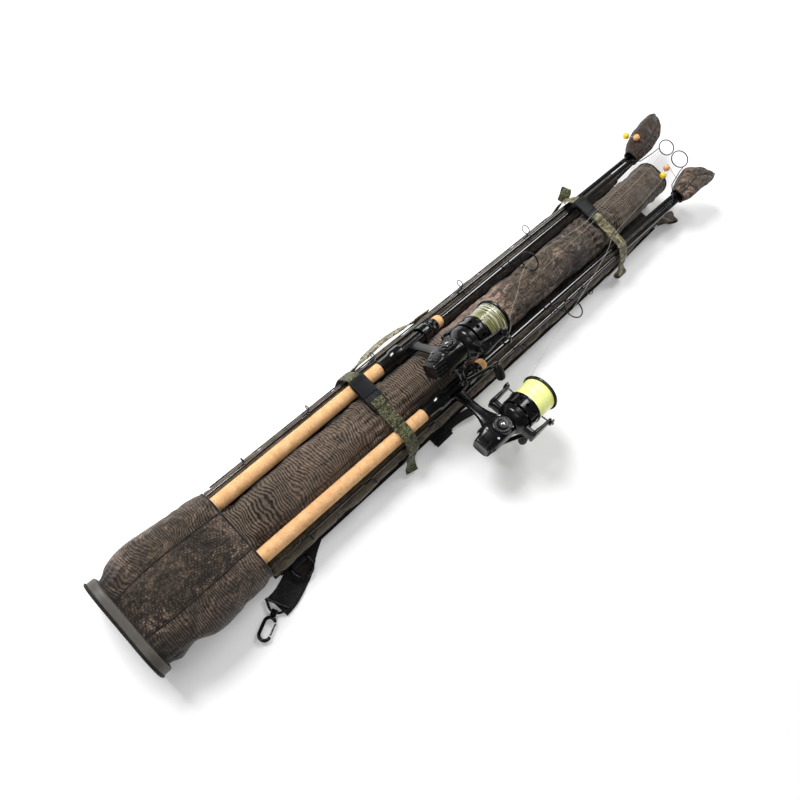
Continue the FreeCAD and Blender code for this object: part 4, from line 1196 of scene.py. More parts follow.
def stitch_line(pts, nrm, step=0.0034, length=0.0022, r=0.00028, mat=None, lift=0.0003):
    """Short raised thread stitches along a path."""
    out = []
    P = [Vector(p) for p in pts]
    acc = 0.0
    dist = [0.0]
    for i in range(1, len(P)):
        dist.append(dist[-1] + (P[i] - P[i - 1]).length)
    tot = dist[-1]
    k = 0

    def at(s):
        for i in range(1, len(P)):
            if dist[i] >= s:
                t = (s - dist[i - 1]) / max(dist[i] - dist[i - 1], 1e-9)
                return P[i - 1].lerp(P[i], t), (Vector(nrm[i]) if isinstance(nrm, list) else Vector(nrm))
        return P[-1], (Vector(nrm[-1]) if isinstance(nrm, list) else Vector(nrm))
    s = 0.0
    verts, faces = [], []
    while s + length < tot:
        p0, n0 = at(s)
        p1, n1 = at(s + length)
        t = (p1 - p0)
        if t.length > 1e-6:
            t.normalize()
            nn = (n0 + n1).normalized()
            sd = t.cross(nn).normalized()
            b = len(verts)
            for (u, w_, h) in ((-0.1, 0.25, 0.0), (0.15, 1.0, 0.8), (0.85, 1.0, 0.8), (1.1, 0.25, 0.0)):
                c = p0.lerp(p1, u) + nn * (lift + r * h)
                for ang in range(5):
                    an = math.pi * 2 * ang / 5
                    verts.append(c + (sd * math.cos(an) + nn * math.sin(an)) * r * w_)
            for q in range(3):
                for g in range(5):
                    faces.append((b + q * 5 + g, b + q * 5 + (g + 1) % 5, b + (q + 1) * 5 + (g + 1) % 5, b + (q + 1) * 5 + g))
        s += step
    return verts, faces


def thread_mat(name, col):
    k = Mat(name)
    v = k.obj()
    tw = k.wave(v, 0.31416 / 0.0007, "DIAGONAL", 0.0)
    c = k.mix(tw, tuple(x * 0.6 for x in col), col)
    return k.set(color=c, rough=0.6, normal=k.bump(tw, 0.3, 0.0003), sheen=0.3)


M_THREAD = thread_mat("thread_brown", srgb(128, 110, 92))
M_THREAD_D = thread_mat("thread_dark", srgb(44, 38, 34))


def stitches(name, runs, mat, body="case", **kw):
    V, Fc = [], []
    for pts, nrm in runs:
        v, f = stitch_line(pts, nrm, **kw)
        b = len(V)
        V += v
        Fc += [tuple(i + b for i in q) for q in f]
    o = make(name, V, Fc, mat)
    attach(o, body)
    return o


runs = []
for c in seam_cols[:2]:
    for dj in (2, -2):
        col = (c + dj) % NVP
        pts, nn = [], []
        for i in range(6, len(xs) - 1):
            p = Vector(A[i, col])
            q = Vector(A[i, (col + 1) % NVP]) - Vector(A[i, (col - 1) % NVP])
            nrm = q.cross(Vector((1, 0, 0)))
            nrm = nrm.normalized()
            if nrm.z < 0:
                nrm = -nrm
            pts.append(p)
            nn.append(nrm)
        runs.append((pts, nn))
stitches("butt_pocket_stitches", runs, M_THREAD, r=0.00024, length=0.0019, step=0.0036)
mouth = [Vector(A[-1, j]) for j in range(NVP)]
cen = sum(mouth, Vector()) / NVP
bind = [cen + (p - cen) * 0.992 for p in mouth]
o = tube("butt_pocket_mouth_binding", bind, 0.0015, M_PIPE, 8, closed=True)
a = coords(o)
a[:, 2] = np.maximum(a[:, 2], FLOOR + 0.0002)
set_coords(o, a)
clear_rods(o, 0.0004)
done(o, "case", "camo_cloth")

# ---- back panel and stiffener -------------------------------------------------
nxp, nyp = 220, 44


def panel_half(x):
    return 88.0 if x < 1100 else 88.0 + (80.0 - 88.0) * (x - 1100) / (1345 - 1100)


verts = []
pxs2 = [206 + (1345 - 206) * i / (nxp - 1) for i in range(nxp)]
for x in pxs2:
    hw = panel_half(x)
    endf = min(1.0, (x - 206) / 8.0, (1345 - x) / 8.0)
    endf = math.sqrt(max(endf, 0.02)) if endf < 1 else 1.0
    for sgn in (1, -1):
        for j in range(nyp):
            v = (-1 + 2.0 * j / (nyp - 1)) * sgn
            e = max(0.0, (abs(v) - 0.93) / 0.07)
            th = 5.7 * math.sqrt(max(0.02, 1 - e * e)) * endf
            crown = 0.0
            verts.append(F(x, v * hw, 8.9 + sgn * th + crown))
faces = grid_faces(nxp, 2 * nyp, False, True)
for base in (0, (nxp - 1) * 2 * nyp):
    ids = list(range(base, base + 2 * nyp))
    for k in range(nyp - 1):
        faces.append((ids[k], ids[k + 1], ids[2 * nyp - 2 - k], ids[2 * nyp - 1 - k]))
o = make("back_panel_pad", verts, faces, M_PANEL)
fix_normals(o)
a = coords(o)
nr = normals(o)
w = fbm(a, (12, 30, 10), 5.5) * 0.0009 + fbm(a, (45, 14, 10), 2.5) * 0.0005
w -= 0.0010 * np.exp(-((np.abs(a[:, 1]) - 0.076) / 0.0025) ** 2)
w = np.where(nr[:, 2] < -0.3, np.minimum(w, 0), w)
inner = (np.abs(a[:, 1]) < 0.045) & (nr[:, 2] > 0)
w = np.where(inner, np.minimum(w, -0.0002), w)
a += nr * w[:, None]
set_coords(o, a)
tong = bmesh.new()
tong.from_mesh(o.data)
tong.to_mesh(o.data)
tong.free()
done(o, "case", "camo_cloth", "back_panel")

verts = []
xt = [40 + (214 - 40) * i / 40 for i in range(41)]
for x in xt:
    for sgn in (1, -1):
        for j in range(16):
            v = (-1 + 2.0 * j / 15) * sgn
            e = max(0.0, (abs(v) - 0.93) / 0.07)
            verts.append(F(x, v * 52, 10.8 + sgn * 3.7 * math.sqrt(max(0.03, 1 - e * e))))
faces = grid_faces(41, 32, False, True)
for base in (0, 40 * 32):
    ids = list(range(base, base + 32))
    for k in range(15):
        faces.append((ids[k], ids[k + 1], ids[30 - k], ids[31 - k]))
o = make("back_panel_tongue", verts, faces, M_PANEL)
fix_normals(o)
done(o, "case", "camo_cloth")

# side piping of the panel
parts = []
for sg in (1, -1):
    pts = [F(x, sg * (panel_half(x) + 0.4), 8.9) for x in pxs2[2:-2]]
    parts.append(tube("pp", pts, 0.0022, M_WELT, 10))
o = join("back_panel_binding", parts)
done(o, "case", "camo_cloth")

bm = bmesh.new()
box_bm(bm, F(44, -36, 14.8), F(1330, 36, 17.2))
me = bpy.data.meshes.new("spine_stiffener")
bm.to_mesh(me)
bm.free()
o = bpy.data.objects.new("spine_stiffener", me)
scene.collection.objects.link(o)
me.materials.append(M_BOARD)
bevel(o, 0.0008, 3)
done(o, "case", "board", "spine_board")

# ---- side bolsters -----------------------------------------------------------
for side, sg in (("left", 1), ("right", -1)):
    secs = [(206, 40, 15.2, 54, 14, sg * 67), (1100, 40, 15.2, 54, 14, sg * 67), (1335, 30, 15.2, 44, 12, sg * 63.5)]
    NVB = 48
    nb_ = 240
    bx = [206 + (1335 - 206) * i / (nb_ - 1) for i in range(nb_)]
    o, xs = shell(side + "_side_band", secs, nb_, NVB, M_SIDE, caps=(True, True), inset=1.6, xs=bx)
    a = coords(o)
    pin = np.zeros(len(a))
    body_n = nb_ * NVB
    gx = (a[:, 0]) * 1000
    pin[a[:, 2] < FLOOR + 0.019] = 1.0
    inner_ = np.abs(a[:, 1]) < 0.050
    pin[inner_] = 0.97
    for xs_ in (507, 1150):
        pin[np.abs(gx - xs_) < 15] = 1.0
    pin[body_n:] = 1.0
    pin[(gx < 210) | (gx > 1331)] = 1.0
    cloth(o, pin, 4.0, 16, 0.004, -0.02, 0.3, 10)
    a = coords(o)
    nr = normals(o)
    out = np.clip((np.abs(a[:, 1]) - 0.053) / 0.01, 0, 1) * np.clip((a[:, 2] - FLOOR - 0.017) / 0.006, 0, 1)
    for_st = np.ones(len(a))
    for xs_ in (507, 1150):
        for_st *= 1 - 0.95 * np.exp(-((gx - xs_) / 16.0) ** 4)
    w = fbm(a, (14, 30, 30), 9.1 + sg) * 0.0020 + fbm(a, (50, 18, 18), 4.1 + sg) * 0.0009
    fan = np.zeros(len(a))
    for xs_ in (507, 1150):
        fan += np.sin(a[:, 2] * 700 + (gx - xs_) * 0.02) * np.exp(-np.abs(gx - xs_) / 40.0) * 0.0009
    a += nr * ((w + fan) * out * for_st)[:, None]
    set_coords(o, a)
    clear_rods(o)
    a = coords(o)
    # stay under the two cross straps
    for xs_ in (507, 1150):
        m = np.abs(a[:, 0] * 1000 - xs_) < 15
        a[m, 1] = np.clip(a[m, 1], -0.0876, 0.0876)
    set_coords(o, a)
    subsurf(o, 1)
    apply_mods(o)
    done(o, "case", "camo_cloth", side + "_bolster")
    # lengthwise seam welt on the shoulder of the band
    pts = []
    for i, x in enumerate(bx):
        if 2 < i < nb_ - 3:
            t = (x - 1100) / 235.0 if x > 1100 else 0
            pts.append(F(x, sg * ((67 + 20.3) * (1 - t) + (63.5 + 15.3) * t), (35.0) * (1 - t) + 30 * t))
    seg = []
    pts = [Vector((p.x, p.y, p.z)) for p in pts]
    for lo_, hi_ in ((206, 491), (523, 1134), (1166, 1335)):
        q = [p for p in pts if lo_ <= p.x * 1000 <= hi_]
        if len(q) > 3:
            seg.append(tube("w", q, 0.0012, M_WELT, 8))
    o = join(side + "_side_welt", seg)
    done(o, "case", "camo_cloth")

# ---- centre sleeve ------------------------------------------------------------
TS = [(20, 84, 17.9, 83.5, 31, 0), (205, 86, 17.9, 85.5, 32.5, 0), (1150, 86, 17.9, 84, 32, 0), (1395, 80, 17.9, 79.5, 29, 5)]
NVT = 96
nt = 330
tx = [20 + (1395 - 20) * i / (nt - 1) for i in range(nt)]
o, xs = shell("centre_sleeve_cloth", TS, nt, NVT, M_TUBE, inset=1.5, xs=tx)
a = coords(o)
gx = a[:, 0] * 1000
nr = normals(o)
STR = (507, 1150)
pinch = np.zeros(len(a))
for s_ in STR:
    pinch = np.maximum(pinch, np.exp(-((gx - s_) / 24.0) ** 4))
up_ = np.clip((a[:, 2] - FLOOR - 0.045) / 0.03, 0, 1)
a[:, 2] -= pinch * up_ * 0.0020
set_coords(o, a)
pin = np.zeros(len(a))
pin[a[:, 2] < FLOOR + 0.0205] = 1.0
pin[(gx < 24) | (gx > 1388)] = 1.0
for s_ in STR:
    pin[np.abs(gx - s_) < 17] = 1.0
pin[(gx < 200)] = np.maximum(pin[(gx < 200)], 0.6)
cloth(o, pin, 3.5, 18, 0.0065, -0.025, 0.15, 8)
a = coords(o)
nr = normals(o)
up_ = np.clip((a[:, 2] - FLOOR - 0.028) / 0.02, 0, 1)
w = fbm(a, (10, 34, 34), 1.3, 4) * 0.0026 + fbm(a, (60, 22, 22), 6.3) * 0.0011
ang = np.arctan2(a[:, 2] - FLOOR - 0.05, a[:, 1])
fan = np.zeros(len(a))
keepz = np.ones(len(a))
for s_, ph in ((507, 0.3), (1150, 1.9)):
    d = np.abs(gx - s_)
    amp = np.exp(-d / 60.0) * np.clip((d - 10) / 14.0, 0, 1)
    fan += np.sin(ang * 17 + ph + 2.5 * fbm(a, (7, 18, 18), 3 + ph)) * amp * 0.0034
    keepz *= 1 - 0.97 * np.exp(-(d / 15.0) ** 4)
swag = np.sin(gx * 0.075 + 3.0 * fbm(a, (5, 14, 14), 8.8)) * 0.0011
endf = np.clip((gx - 20) / 20, 0, 1) * np.clip((1395 - gx) / 12, 0.15, 1)
rib = np.sin(gx * 2 * math.pi / 5.0 + 5.0 * fbm(a, (9, 16, 16), 4.4)) * 0.00035 * np.clip((700 - gx) / 60, 0.15, 1)
a += nr * ((w + fan + swag + rib) * up_ * keepz * endf)[:, None]
set_coords(o, a)
clear_rods(o)
a = coords(o)
for s_ in STR:
    m = np.abs(a[:, 0] * 1000 - s_) < 18
    a[m, 2] = np.minimum(a[m, 2], FLOOR + 0.0842)
set_coords(o, a)
SL = coords(o).reshape(nt, NVT, 3)
solid(o, 0.0022, -1)
subsurf(o, 1)
apply_mods(o)
done(o, "case", "camo_cloth", "tube_sleeve")
parts = []
for row in (0, nt - 1):
    P = [Vector(SL[row, j]) for j in range(NVT)]
    parts.append(tube("b", P, 0.0019, M_BIND, 8, closed=True))
o = join("centre_sleeve_binding", parts)
clear_rods(o, 0.0003)
done(o, "case", "camo_cloth")
# lengthwise zip seam on top of the sleeve
runs = []
for jt in (column_at(SL[100], 9), column_at(SL[100], -9)):
    for lo_, hi_ in ((24, 488), (526, 1132), (1168, 1390)):
        q = [Vector(SL[i, jt]) for i in range(nt) if lo_ < tx[i] < hi_]
        runs.append((q, Vector((0, 0, 1))))
stitches("centre_sleeve_stitches", runs, M_THREAD_D, step=0.0044, length=0.0028, r=0.00026)
# closing seam along the right shoulder of the sleeve
seg, runs = [], []
jt = column_at(SL[100], -31)
for lo_, hi_ in ((204, 488), (526, 1132), (1168, 1390)):
    q = [Vector(SL[i, jt]) + Vector((0, -0.0003, 0.0004)) for i in range(nt) if lo_ < tx[i] < hi_]
    seg.append(tube("s", q, 0.0009, M_PIPE, 8))
    runs.append(([p + Vector((0, 0.0030, 0.0006)) for p in q], Vector((0, -0.35, 0.94))))
o = join("centre_sleeve_side_seam", seg)
done(o, "case", "camo_cloth")
stitches("centre_sleeve_side_stitches", runs, M_THREAD, step=0.0046, length=0.0026, r=0.00024)


# ===========================================================================
# Cross straps, buckles, handle, shoulder strap, hook, D-ring, cups
# ===========================================================================
def dense(pts, n):
    return catmull([F(*p) for p in pts], n)


for name, sx in (("lower", 507.0), ("upper", 1150.0)):
    sd = Vector((1, 0, 0))
    M = M_WEB if name == "upper" else M_WEB_D
    R = [(sx, -27, 87.1), (sx, -40, 87.3), (sx, -54, 87.1), (sx, -68, 84), (sx, -80.5, 70), (sx, -88, 60), (sx, -89.9, 50), (sx, -90.0, 30), (sx, -89.9, 5)]
    L = [(sx, 66.6, 88.2), (sx, 74, 82.5), (sx, 82, 70), (sx, 88, 60), (sx, 89.9, 50), (sx, 90.0, 30), (sx, 89.9, 5)]
    a_ = ribbon("r", dense(R, 6), sd, 0.025, 0.0018, M, 11)
    b_ = ribbon("l", dense(L, 6), sd, 0.025, 0.0018, M, 11)
    o = join(name + "_cross_strap", [a_, b_])
    done(o, "case", "camo_web", name + "_strap")
    # loose end: drops beyond the right edge; the upper one folds back on itself
    if name == "upper":
        tl = [(sx - 1, -91.8, 50), (sx, -95, 40), (sx + 2, -101, 31), (sx + 4, -107, 25), (sx + 6, -109.5, 19.5), (sx + 6, -106, 14), (sx + 5, -100, 13), (sx + 4, -95.5, 17)]
    else:
        tl = [(sx - 2, -91.8, 40), (sx - 3, -94.4, 30), (sx - 4.5, -98, 21), (sx - 6, -102, 13.5), (sx - 7.5, -107, 8.5), (sx - 8.5, -111, 7.2)]
    P4 = dense(tl, 6)
    wv = lambda d, v, n_=name: 0.0009 * math.sin(d * 190 + v * 1.4)
    o = ribbon(name + "_strap_tail", P4, Vector((1, 0.06, 0)), 0.0246, 0.0017, M, 11, wave=wv)
    done(o, "case", "camo_web")
    if name == "upper":
        # slack of the strap folded over on the left edge
        P5 = dense([(sx + 4, 91.6, 52), (sx + 12, 94, 62), (sx + 21, 98.5, 67), (sx + 29, 103.5, 66), (sx + 33.5, 106.5, 60), (sx + 31, 104, 53), (sx + 23, 98.5, 49), (sx + 13, 94, 46)], 6)
        o = ribbon("upper_strap_slack", P5, Vector((0.58, -0.81, 0)), 0.0200, 0.0017, M_WEB_D, 11, wave=wv)
        done(o, "case", "camo_web")
        # soft folded tag beside the right hood
        P5 = dense([(1322, -70, 38.4), (1334, -73, 39.5), (1350, -79, 36), (1372, -85, 29), (1392, -90, 21), (1403, -93, 13), (1399, -92, 7.5), (1388, -88.5, 9.5), (1370, -83.5, 18), (1352, -78.5, 26), (1336, -74, 31), (1325, -71, 33)], 6)
        o = ribbon("side_fold_tag", P5, Vector((0.30, 0.95, 0.0)), 0.027, 0.0022, M_SIDE, 13, wave=lambda d, v: 0.0016 * math.sin(d * 130 + v * 2.4) * min(1.0, d * 40))
        done(o, "case", "camo_cloth")
    # doubled-back loop through the plug
    top = [(sx, 1.6, 90.6), (sx, -4, 90.9), (sx, -16, 90.4), (sx, -30, 90.1), (sx, -38, 90.3), (sx, -40.6, 89.9)]
    o = ribbon(name + "_adjust_loop", dense(top, 5), sd, 0.0248, 0.0016, M, 11)
    o2 = ribbon("w", catmull([F(sx, 0.9, 90.0), F(sx, 1.4, 92.6), F(sx, 3.4, 94.3), F(sx, 7, 94.5), F(sx, 12, 94.6), F(sx, 15.4, 94.3), F(sx, 16.3, 92.6), F(sx, 15.6, 90.2)], 5), sd, 0.0240, 0.0013, M, 9)
    o = join(name + "_adjust_loop", [o, o2])
    done(o, name + "_plug", "camo_web", name + "_strap_loop")
    runs = [([F(sx - 10.5, -38.5, 91.25), F(sx + 10.5, -38.5, 91.25)], Vector((0, 0, 1))),
            ([F(sx - 10.5, -35.5, 91.2), F(sx + 10.5, -35.5, 91.2)], Vector((0, 0, 1))),
            ([F(sx - 10.5, -38.5, 91.25), F(sx + 10.5, -35.5, 91.2)], Vector((0, 0, 1)))]
    o = stitches(name + "_adjust_stitches", runs, M_THREAD_D, name + "_plug", step=0.0024, length=0.0018, r=0.0003, lift=0.0)

    # buckle socket: hollow housing with side windows, rounded shoulders, grip ribs
    bm = bmesh.new()
    n = 24
    secs = []
    for i in range(17):
        y = 28 + 38 * i / 16.0
        t = i / 16.0
        wv = 16.5 - 0.9 * max(0, (t - 0.85) / 0.15) ** 2 - 0.5 * max(0, (0.08 - t) / 0.08) ** 2
        if 0.30 < t < 0.66:
            wv -= 0.0
        secs.append((y, wv))
    outer, inner = [], []
    zc = 89.5

    def srow(y, w, h, e=3.6):
        out = []
        for k in range(n):
            t = 2 * math.pi * k / n
            c, s = math.cos(t), math.sin(t)
            out.append(F(sx + w * abs(c) ** (2 / e) * (1 if c >= 0 else -1), y, zc + h * abs(s) ** (2 / e) * (1 if s >= 0 else -1)))
        return out
    for (y, w) in secs:
        outer.append([bm.verts.new(p) for p in srow(y, w, 4.55, 5)])
    for (y, w) in secs:
        inner.append([bm.verts.new(p) for p in srow(min(max(y, 28), 58), 13.2, 2.7, 5)])
    for i in range(len(secs) - 1):
        t = (secs[i][0] + secs[i + 1][0]) / 2
        for k in range(n):
            k2 = (k + 1) % n
            ca_ = math.cos(2 * math.pi * (k + 0.5) / n)
            hole = (41 < t < 53) and abs(ca_) > 0.93
            if not hole:
                bm.faces.new((outer[i][k], outer[i + 1][k], outer[i + 1][k2], outer[i][k2]))
            if secs[i + 1][0] <= 58.5 and not hole:
                bm.faces.new((inner[i][k], inner[i][k2], inner[i + 1][k2], inner[i + 1][k]))
    for k in range(n):
        k2 = (k + 1) % n
        bm.faces.new((outer[0][k], outer[0][k2], inner[0][k2], inner[0][k]))
    bm.faces.new([outer[-1][k] for k in range(n)])
    # grip bars near the webbing end
    for yy in (55.5, 58.2, 60.9):
        box_bm(bm, F(sx - 11.5, yy, zc + 3.9), F(sx + 11.5, yy + 1.2, zc + 5.15))
    me = bpy.data.meshes.new(name + "_socket")
    bm.to_mesh(me)
    bm.free()
    o = bpy.data.objects.new(name + "_socket", me)
    scene.collection.objects.link(o)
    me.materials.append(M_BUCKLE)
    fix_normals(o)
    auto_smooth(o, 40)
    bevel(o, 0.0004, 2, 40)
    done(o, "case", "buckle", name + "_buckle_socket")

    # plug: ladder base with two slots, tongue and two barbed arms
    bm = bmesh.new()
    z0, z1 = 85.6, 93.4
    for (xa, xb, ya, yb) in ((-16, -12.8, 2, 27.6), (12.8, 16, 2, 27.6), (-13, 13, 2, 6), (-13, 13, 9, 14), (-13, 13, 17, 27.6)):
        box_bm(bm, F(sx + xa, ya, z0 + (0.6 if abs(xa) < 14 and abs(xb) < 14 else 0)), F(sx + xb, yb, z1 - (0.6 if abs(xa) < 14 and abs(xb) < 14 else 0)))
    box_bm(bm, F(sx - 2.5, 27, 88.0), F(sx + 2.5, 48.6, 91.2))
    for s in (-1, 1):
        ys = [27.2, 34, 42, 44.2, 49.8, 52.4]
        xo = [10.4, 10.4, 10.5, 12.4, 12.4, 9.2]
        xi = [6.6, 6.8, 7.2, 7.4, 7.6, 7.2]
        rows = []
        for y, o_, i_ in zip(ys, xo, xi):
            rows.append([bm.verts.new(F(sx + s * i_, y, 87.9)), bm.verts.new(F(sx + s * o_, y, 87.9)),
                         bm.verts.new(F(sx + s * o_, y, 91.3)), bm.verts.new(F(sx + s * i_, y, 91.3))])
        for r1, r2 in zip(rows[:-1], rows[1:]):
            for k in range(4):
                bm.faces.new((r1[k], r1[(k + 1) % 4], r2[(k + 1) % 4], r2[k]))
        bm.faces.new(rows[0])
        bm.faces.new(rows[-1])
    me = bpy.data.meshes.new(name + "_plug")
    bm.to_mesh(me)
    bm.free()
    o = bpy.data.objects.new(name + "_plug_clip", me)
    scene.collection.objects.link(o)
    me.materials.append(M_BUCKLE)
    fix_normals(o)
    bevel(o, 0.00045, 2, 30)
    done(o, name + "_plug", "buckle", name + "_buckle_plug")


# ---- carry handle ----------------------------------------------------------
hp = [(520, 90.7), (532, 91.0), (545, 92.3), (575, 97), (622, 100.5), (670, 97), (705, 92.3), (722, 91.0), (736, 90.7)]
pts = dense([(x, y, 30.5) for x, y in hp], 10)
lean = [Vector((0, -0.55 * min(1.0, max(0.0, (p.y * 1000 - 92.0) / 5.0)), 1)) for p in pts]
o = ribbon("carry_handle_tape", pts, lean, 0.025, 0.0024, M_WEB_H, 11)
runs = []
for w_ in (-0.0100, 0.0100):
    runs.append(([p + s_.normalized() * w_ + Vector((0, 0.0013, 0.0004)) for p, s_ in zip(pts, lean)], Vector((0, 0.9, 0.4))))
done(o, "case", "camo_web", "carry_handle")
# rolled grip in the middle of the handle
g = [(p, s_) for p, s_ in zip(pts, lean) if 0.570 < p.x < 0.674]
o = ribbon("carry_handle_grip", [p + Vector((0, 0.0004, 0)) for p, s_ in g], [s_ for p, s_ in g], 0.0262, 0.0040, M_WEB_H, 11)
done(o, "case", "camo_web")
stitches("carry_handle_stitches", runs, M_THREAD, step=0.0032, length=0.0022, r=0.00028)

# ---- shoulder strap --------------------------------------------------------
sp = [(182, -121), (205, -118), (240, -104), (285, -76), (345, -48), (430, -32),
      (510, -40), (562, -58), (588, -84), (590, -110)]
P2 = catmull([Vector((x / 1000.0, y / 1000.0, 0)) for x, y in sp], 12)
pts, sides = [], []
for i, p in enumerate(P2):
    a0 = P2[max(i - 1, 0)]
    a1 = P2[min(i + 1, len(P2) - 1)]
    t = (a1 - a0).normalized()
    sides.append(Vector((-t.y, t.x, 0)))
    pts.append(Vector((p.x, p.y, FLOOR + 0.0015)))
under = lambda d, v: 0.0
o = ribbon("shoulder_strap_tape", pts, sides, 0.042, 0.0021, M_BLACKWEB, 15)
done(o, "case", "black_web", "shoulder_strap")
# doubled end sewn round the swivel: second layer and box stitch
q = [i for i, p in enumerate(pts) if p.x < 0.226]
o = ribbon("shoulder_strap_end", [pts[i] + Vector((0, 0, 0.0021)) for i in q], [sides[i] for i in q], 0.0412, 0.0018, M_BLACKWEB, 15)
done(o, "case", "black_web")
i0, i1 = q[3], q[-2]
c0, c1 = pts[i0] + Vector((0, 0, 0.0031)), pts[i1] + Vector((0, 0, 0.0031))
s0, s1 = sides[i0] * 0.015, sides[i1] * 0.015
U = Vector((0, 0, 1))
runs = [([c0 + s0, c1 + s1], U), ([c0 - s0, c1 - s1], U), ([c0 + s0, c0 - s0], U), ([c1 + s1, c1 - s1], U),
        ([c0 + s0, c1 - s1], U), ([c0 - s0, c1 + s1], U)]
stitches("shoulder_strap_stitches", runs, thread_mat("thread_black", srgb(58, 56, 56)), step=0.003, length=0.0022, r=0.0003, lift=-0.0001)
# padded leather-look keeper where the strap leaves the case
bm = bmesh.new()
keepc = [i for i, p in enumerate(pts) if 0.232 < p.x < 0.262]
me_ = None
o = ribbon("shoulder_strap_keeper", [pts[i] + Vector((0, 0, 0.0016)) for i in keepc], [sides[i] for i in keepc], 0.0432, 0.0012, M_BIND, 13)
done(o, "case", "black_web")
bm.free()

# three-bar slider
bm = bmesh.new()
Ms = Matrix.Translation(F(589.5, -98.5, 2.9))
for (xa, xb, ya, yb) in ((-23, -19.5, -7, 7), (19.5, 23, -7, 7), (-20, 20, -7, -5), (-20, 20, -1.6, 1.6), (-20, 20, 5, 7)):
    box_bm(bm, Vector((xa, ya, 0)) / 1000, Vector((xb, yb, 3.6)) / 1000, Ms)
me = bpy.data.meshes.new("slider")
bm.to_mesh(me)
bm.free()
o = bpy.data.objects.new("strap_slider", me)
scene.collection.objects.link(o)
me.materials.append(M_BUCKLE)
bevel(o, 0.0006, 2, 40)
done(o, "case", "buckle", "strap_adjuster")

# loose end of the strap running on from the slider, arching up and dropping at its tip
tp = catmull([F(597, -96, 3.2), F(612, -95, 7), F(632, -97, 12), (F(652, -101, 15)), F(668, -105, 13), F(676, -108, 8)], 6)
o = ribbon("shoulder_strap_loose_end", tp, Vector((-0.12, 0.97, 0.2)), 0.016, 0.0018, M_BLACKWEB, 9)
done(o, "case", "black_web")

# ---- swivel hook -----------------------------------------------------------
HM = Matrix.Translation(F(174, -123, 6.4)) @ Matrix.Rotation(math.radians(205), 4, "Z")
hv = lambda x, y, z=0: HM @ Vector((x / 1000.0, y / 1000.0, z / 1000.0))
parts = []
tri = [(-12, -21), (-12, 21)]
loop = catmull([hv(-12, 21), hv(-12, 0), hv(-12, -21)], 4)
parts.append(tube("a", loop, 0.002, M_BLACKMET, 12))
parts.append(tube("a", catmull([hv(-12, -21), hv(-9.5, -17.5), hv(0, -8), hv(0.6, 0), hv(0, 8), hv(-9.5, 17.5), hv(-12, 21)], 6), 0.0021, M_BLACKMET, 12))
parts.append(lathe("a", [(-2.4, 3.2), (-2.4, 5.2), (-1.8, 5.5), (-0.4, 5.5), (0, 5.2), (0.6, 5.6), (1.4, 5.6), (2, 5.2), (3.6, 5.4), (4.3, 5.2), (4.4, 3.2)], M_BLACKMET, HM, 32, closed=True))
o = join("swivel_loop", parts)
done(o, "case", "ring_metal", "hook_swivel")
# hook frame: stadium ring, rounded, with nose notch
parts = [lathe("a", [(-2.3, 0), (-2.3, 2.9), (4.6, 2.9), (4.6, 4.6), (5.2, 5.3), (7.4, 5.3), (8.0, 4.8), (8.2, 0)], M_BLACKMET, HM, 32)]
cl = []
for k in range(0, 49):
    t = math.pi / 2 + math.pi * k / 48.0
    cl.append((19 + 8.6 * math.cos(t), 8.6 * math.sin(t)))
left_arc = cl
right_arc = [(37 + 8.6 * math.cos(-math.pi / 2 + math.pi * k / 48.0), 8.6 * math.sin(-math.pi / 2 + math.pi * k / 48.0)) for k in range(49)]
path = left_arc + [(19 + 18 * k / 12.0, -8.6) for k in range(1, 12)] + right_arc
path = [p for p in path if not (p[1] > 6.1 and 15.4 < p[0] < 36.6)]
parts.append(tube("a", [hv(x, y) for x, y in path], 0.0029, M_BLACKMET, 14,
                  radii=[0.0029 if 2 < i < len(path) - 3 else 0.0025 for i in range(len(path))]))
o = join("snap_hook", parts)
subsurf(o, 1)
done(o, "hook", "ring_metal", "hook_body")
parts = [tube("a", [hv(17.6, 8.6), hv(22, 8.7), hv(29, 8.7), hv(35.4, 8.6)], 0.0015, M_STEEL, 12),
         tube("a", [hv(17.6, 8.6, -2.3), hv(17.6, 8.6, 2.3)], 0.0017, M_STEEL, 14)]
o = join("snap_gate", parts)
done(o, "gate", "ring_metal", "hook_gate")

# ---- D-ring on its tab -------------------------------------------------------
DM = Matrix.Translation(F(250, -93.2, 9.0))
dp = [(-17 + 34 * k / 10.0, 0) for k in range(11)]
arc = [(17 * math.cos(-math.pi * k / 24.0), -9 + 17 * math.sin(-math.pi * k / 24.0)) for k in range(25)]
ring = [(-15.5 + 31 * k / 8.0, 0) for k in range(9)] + [(16.7, -0.7), (17, -2.5), (17, -6)] + arc + [(-17, -6), (-17, -2.5), (-16.7, -0.7)]
o = tube("d_ring_wire", [DM @ Vector((x / 1000.0, y / 1000.0, 0)) for x, y in ring], 0.002, M_BLACKMET, 16, closed=True)
done(o, "side_ring", "ring_metal", "d_ring")
wrapp = [(4.8, 3.1), (1.5, 3.2), (-1.6, 2.9), (-3.1, 1.2), (-3.3, 0), (-3.1, -1.2), (-1.6, -2.9), (1.5, -3.2), (4.8, -3.1)]
P3 = catmull([DM @ Vector((0, y / 1000.0, z / 1000.0)) for y, z in wrapp], 5)
o = ribbon("d_ring_webbing", P3, Vector((1, 0, 0)), 0.026, 0.0014, M_BLACKWEB, 11)
done(o, "case", "black_web", "d_ring_tab")

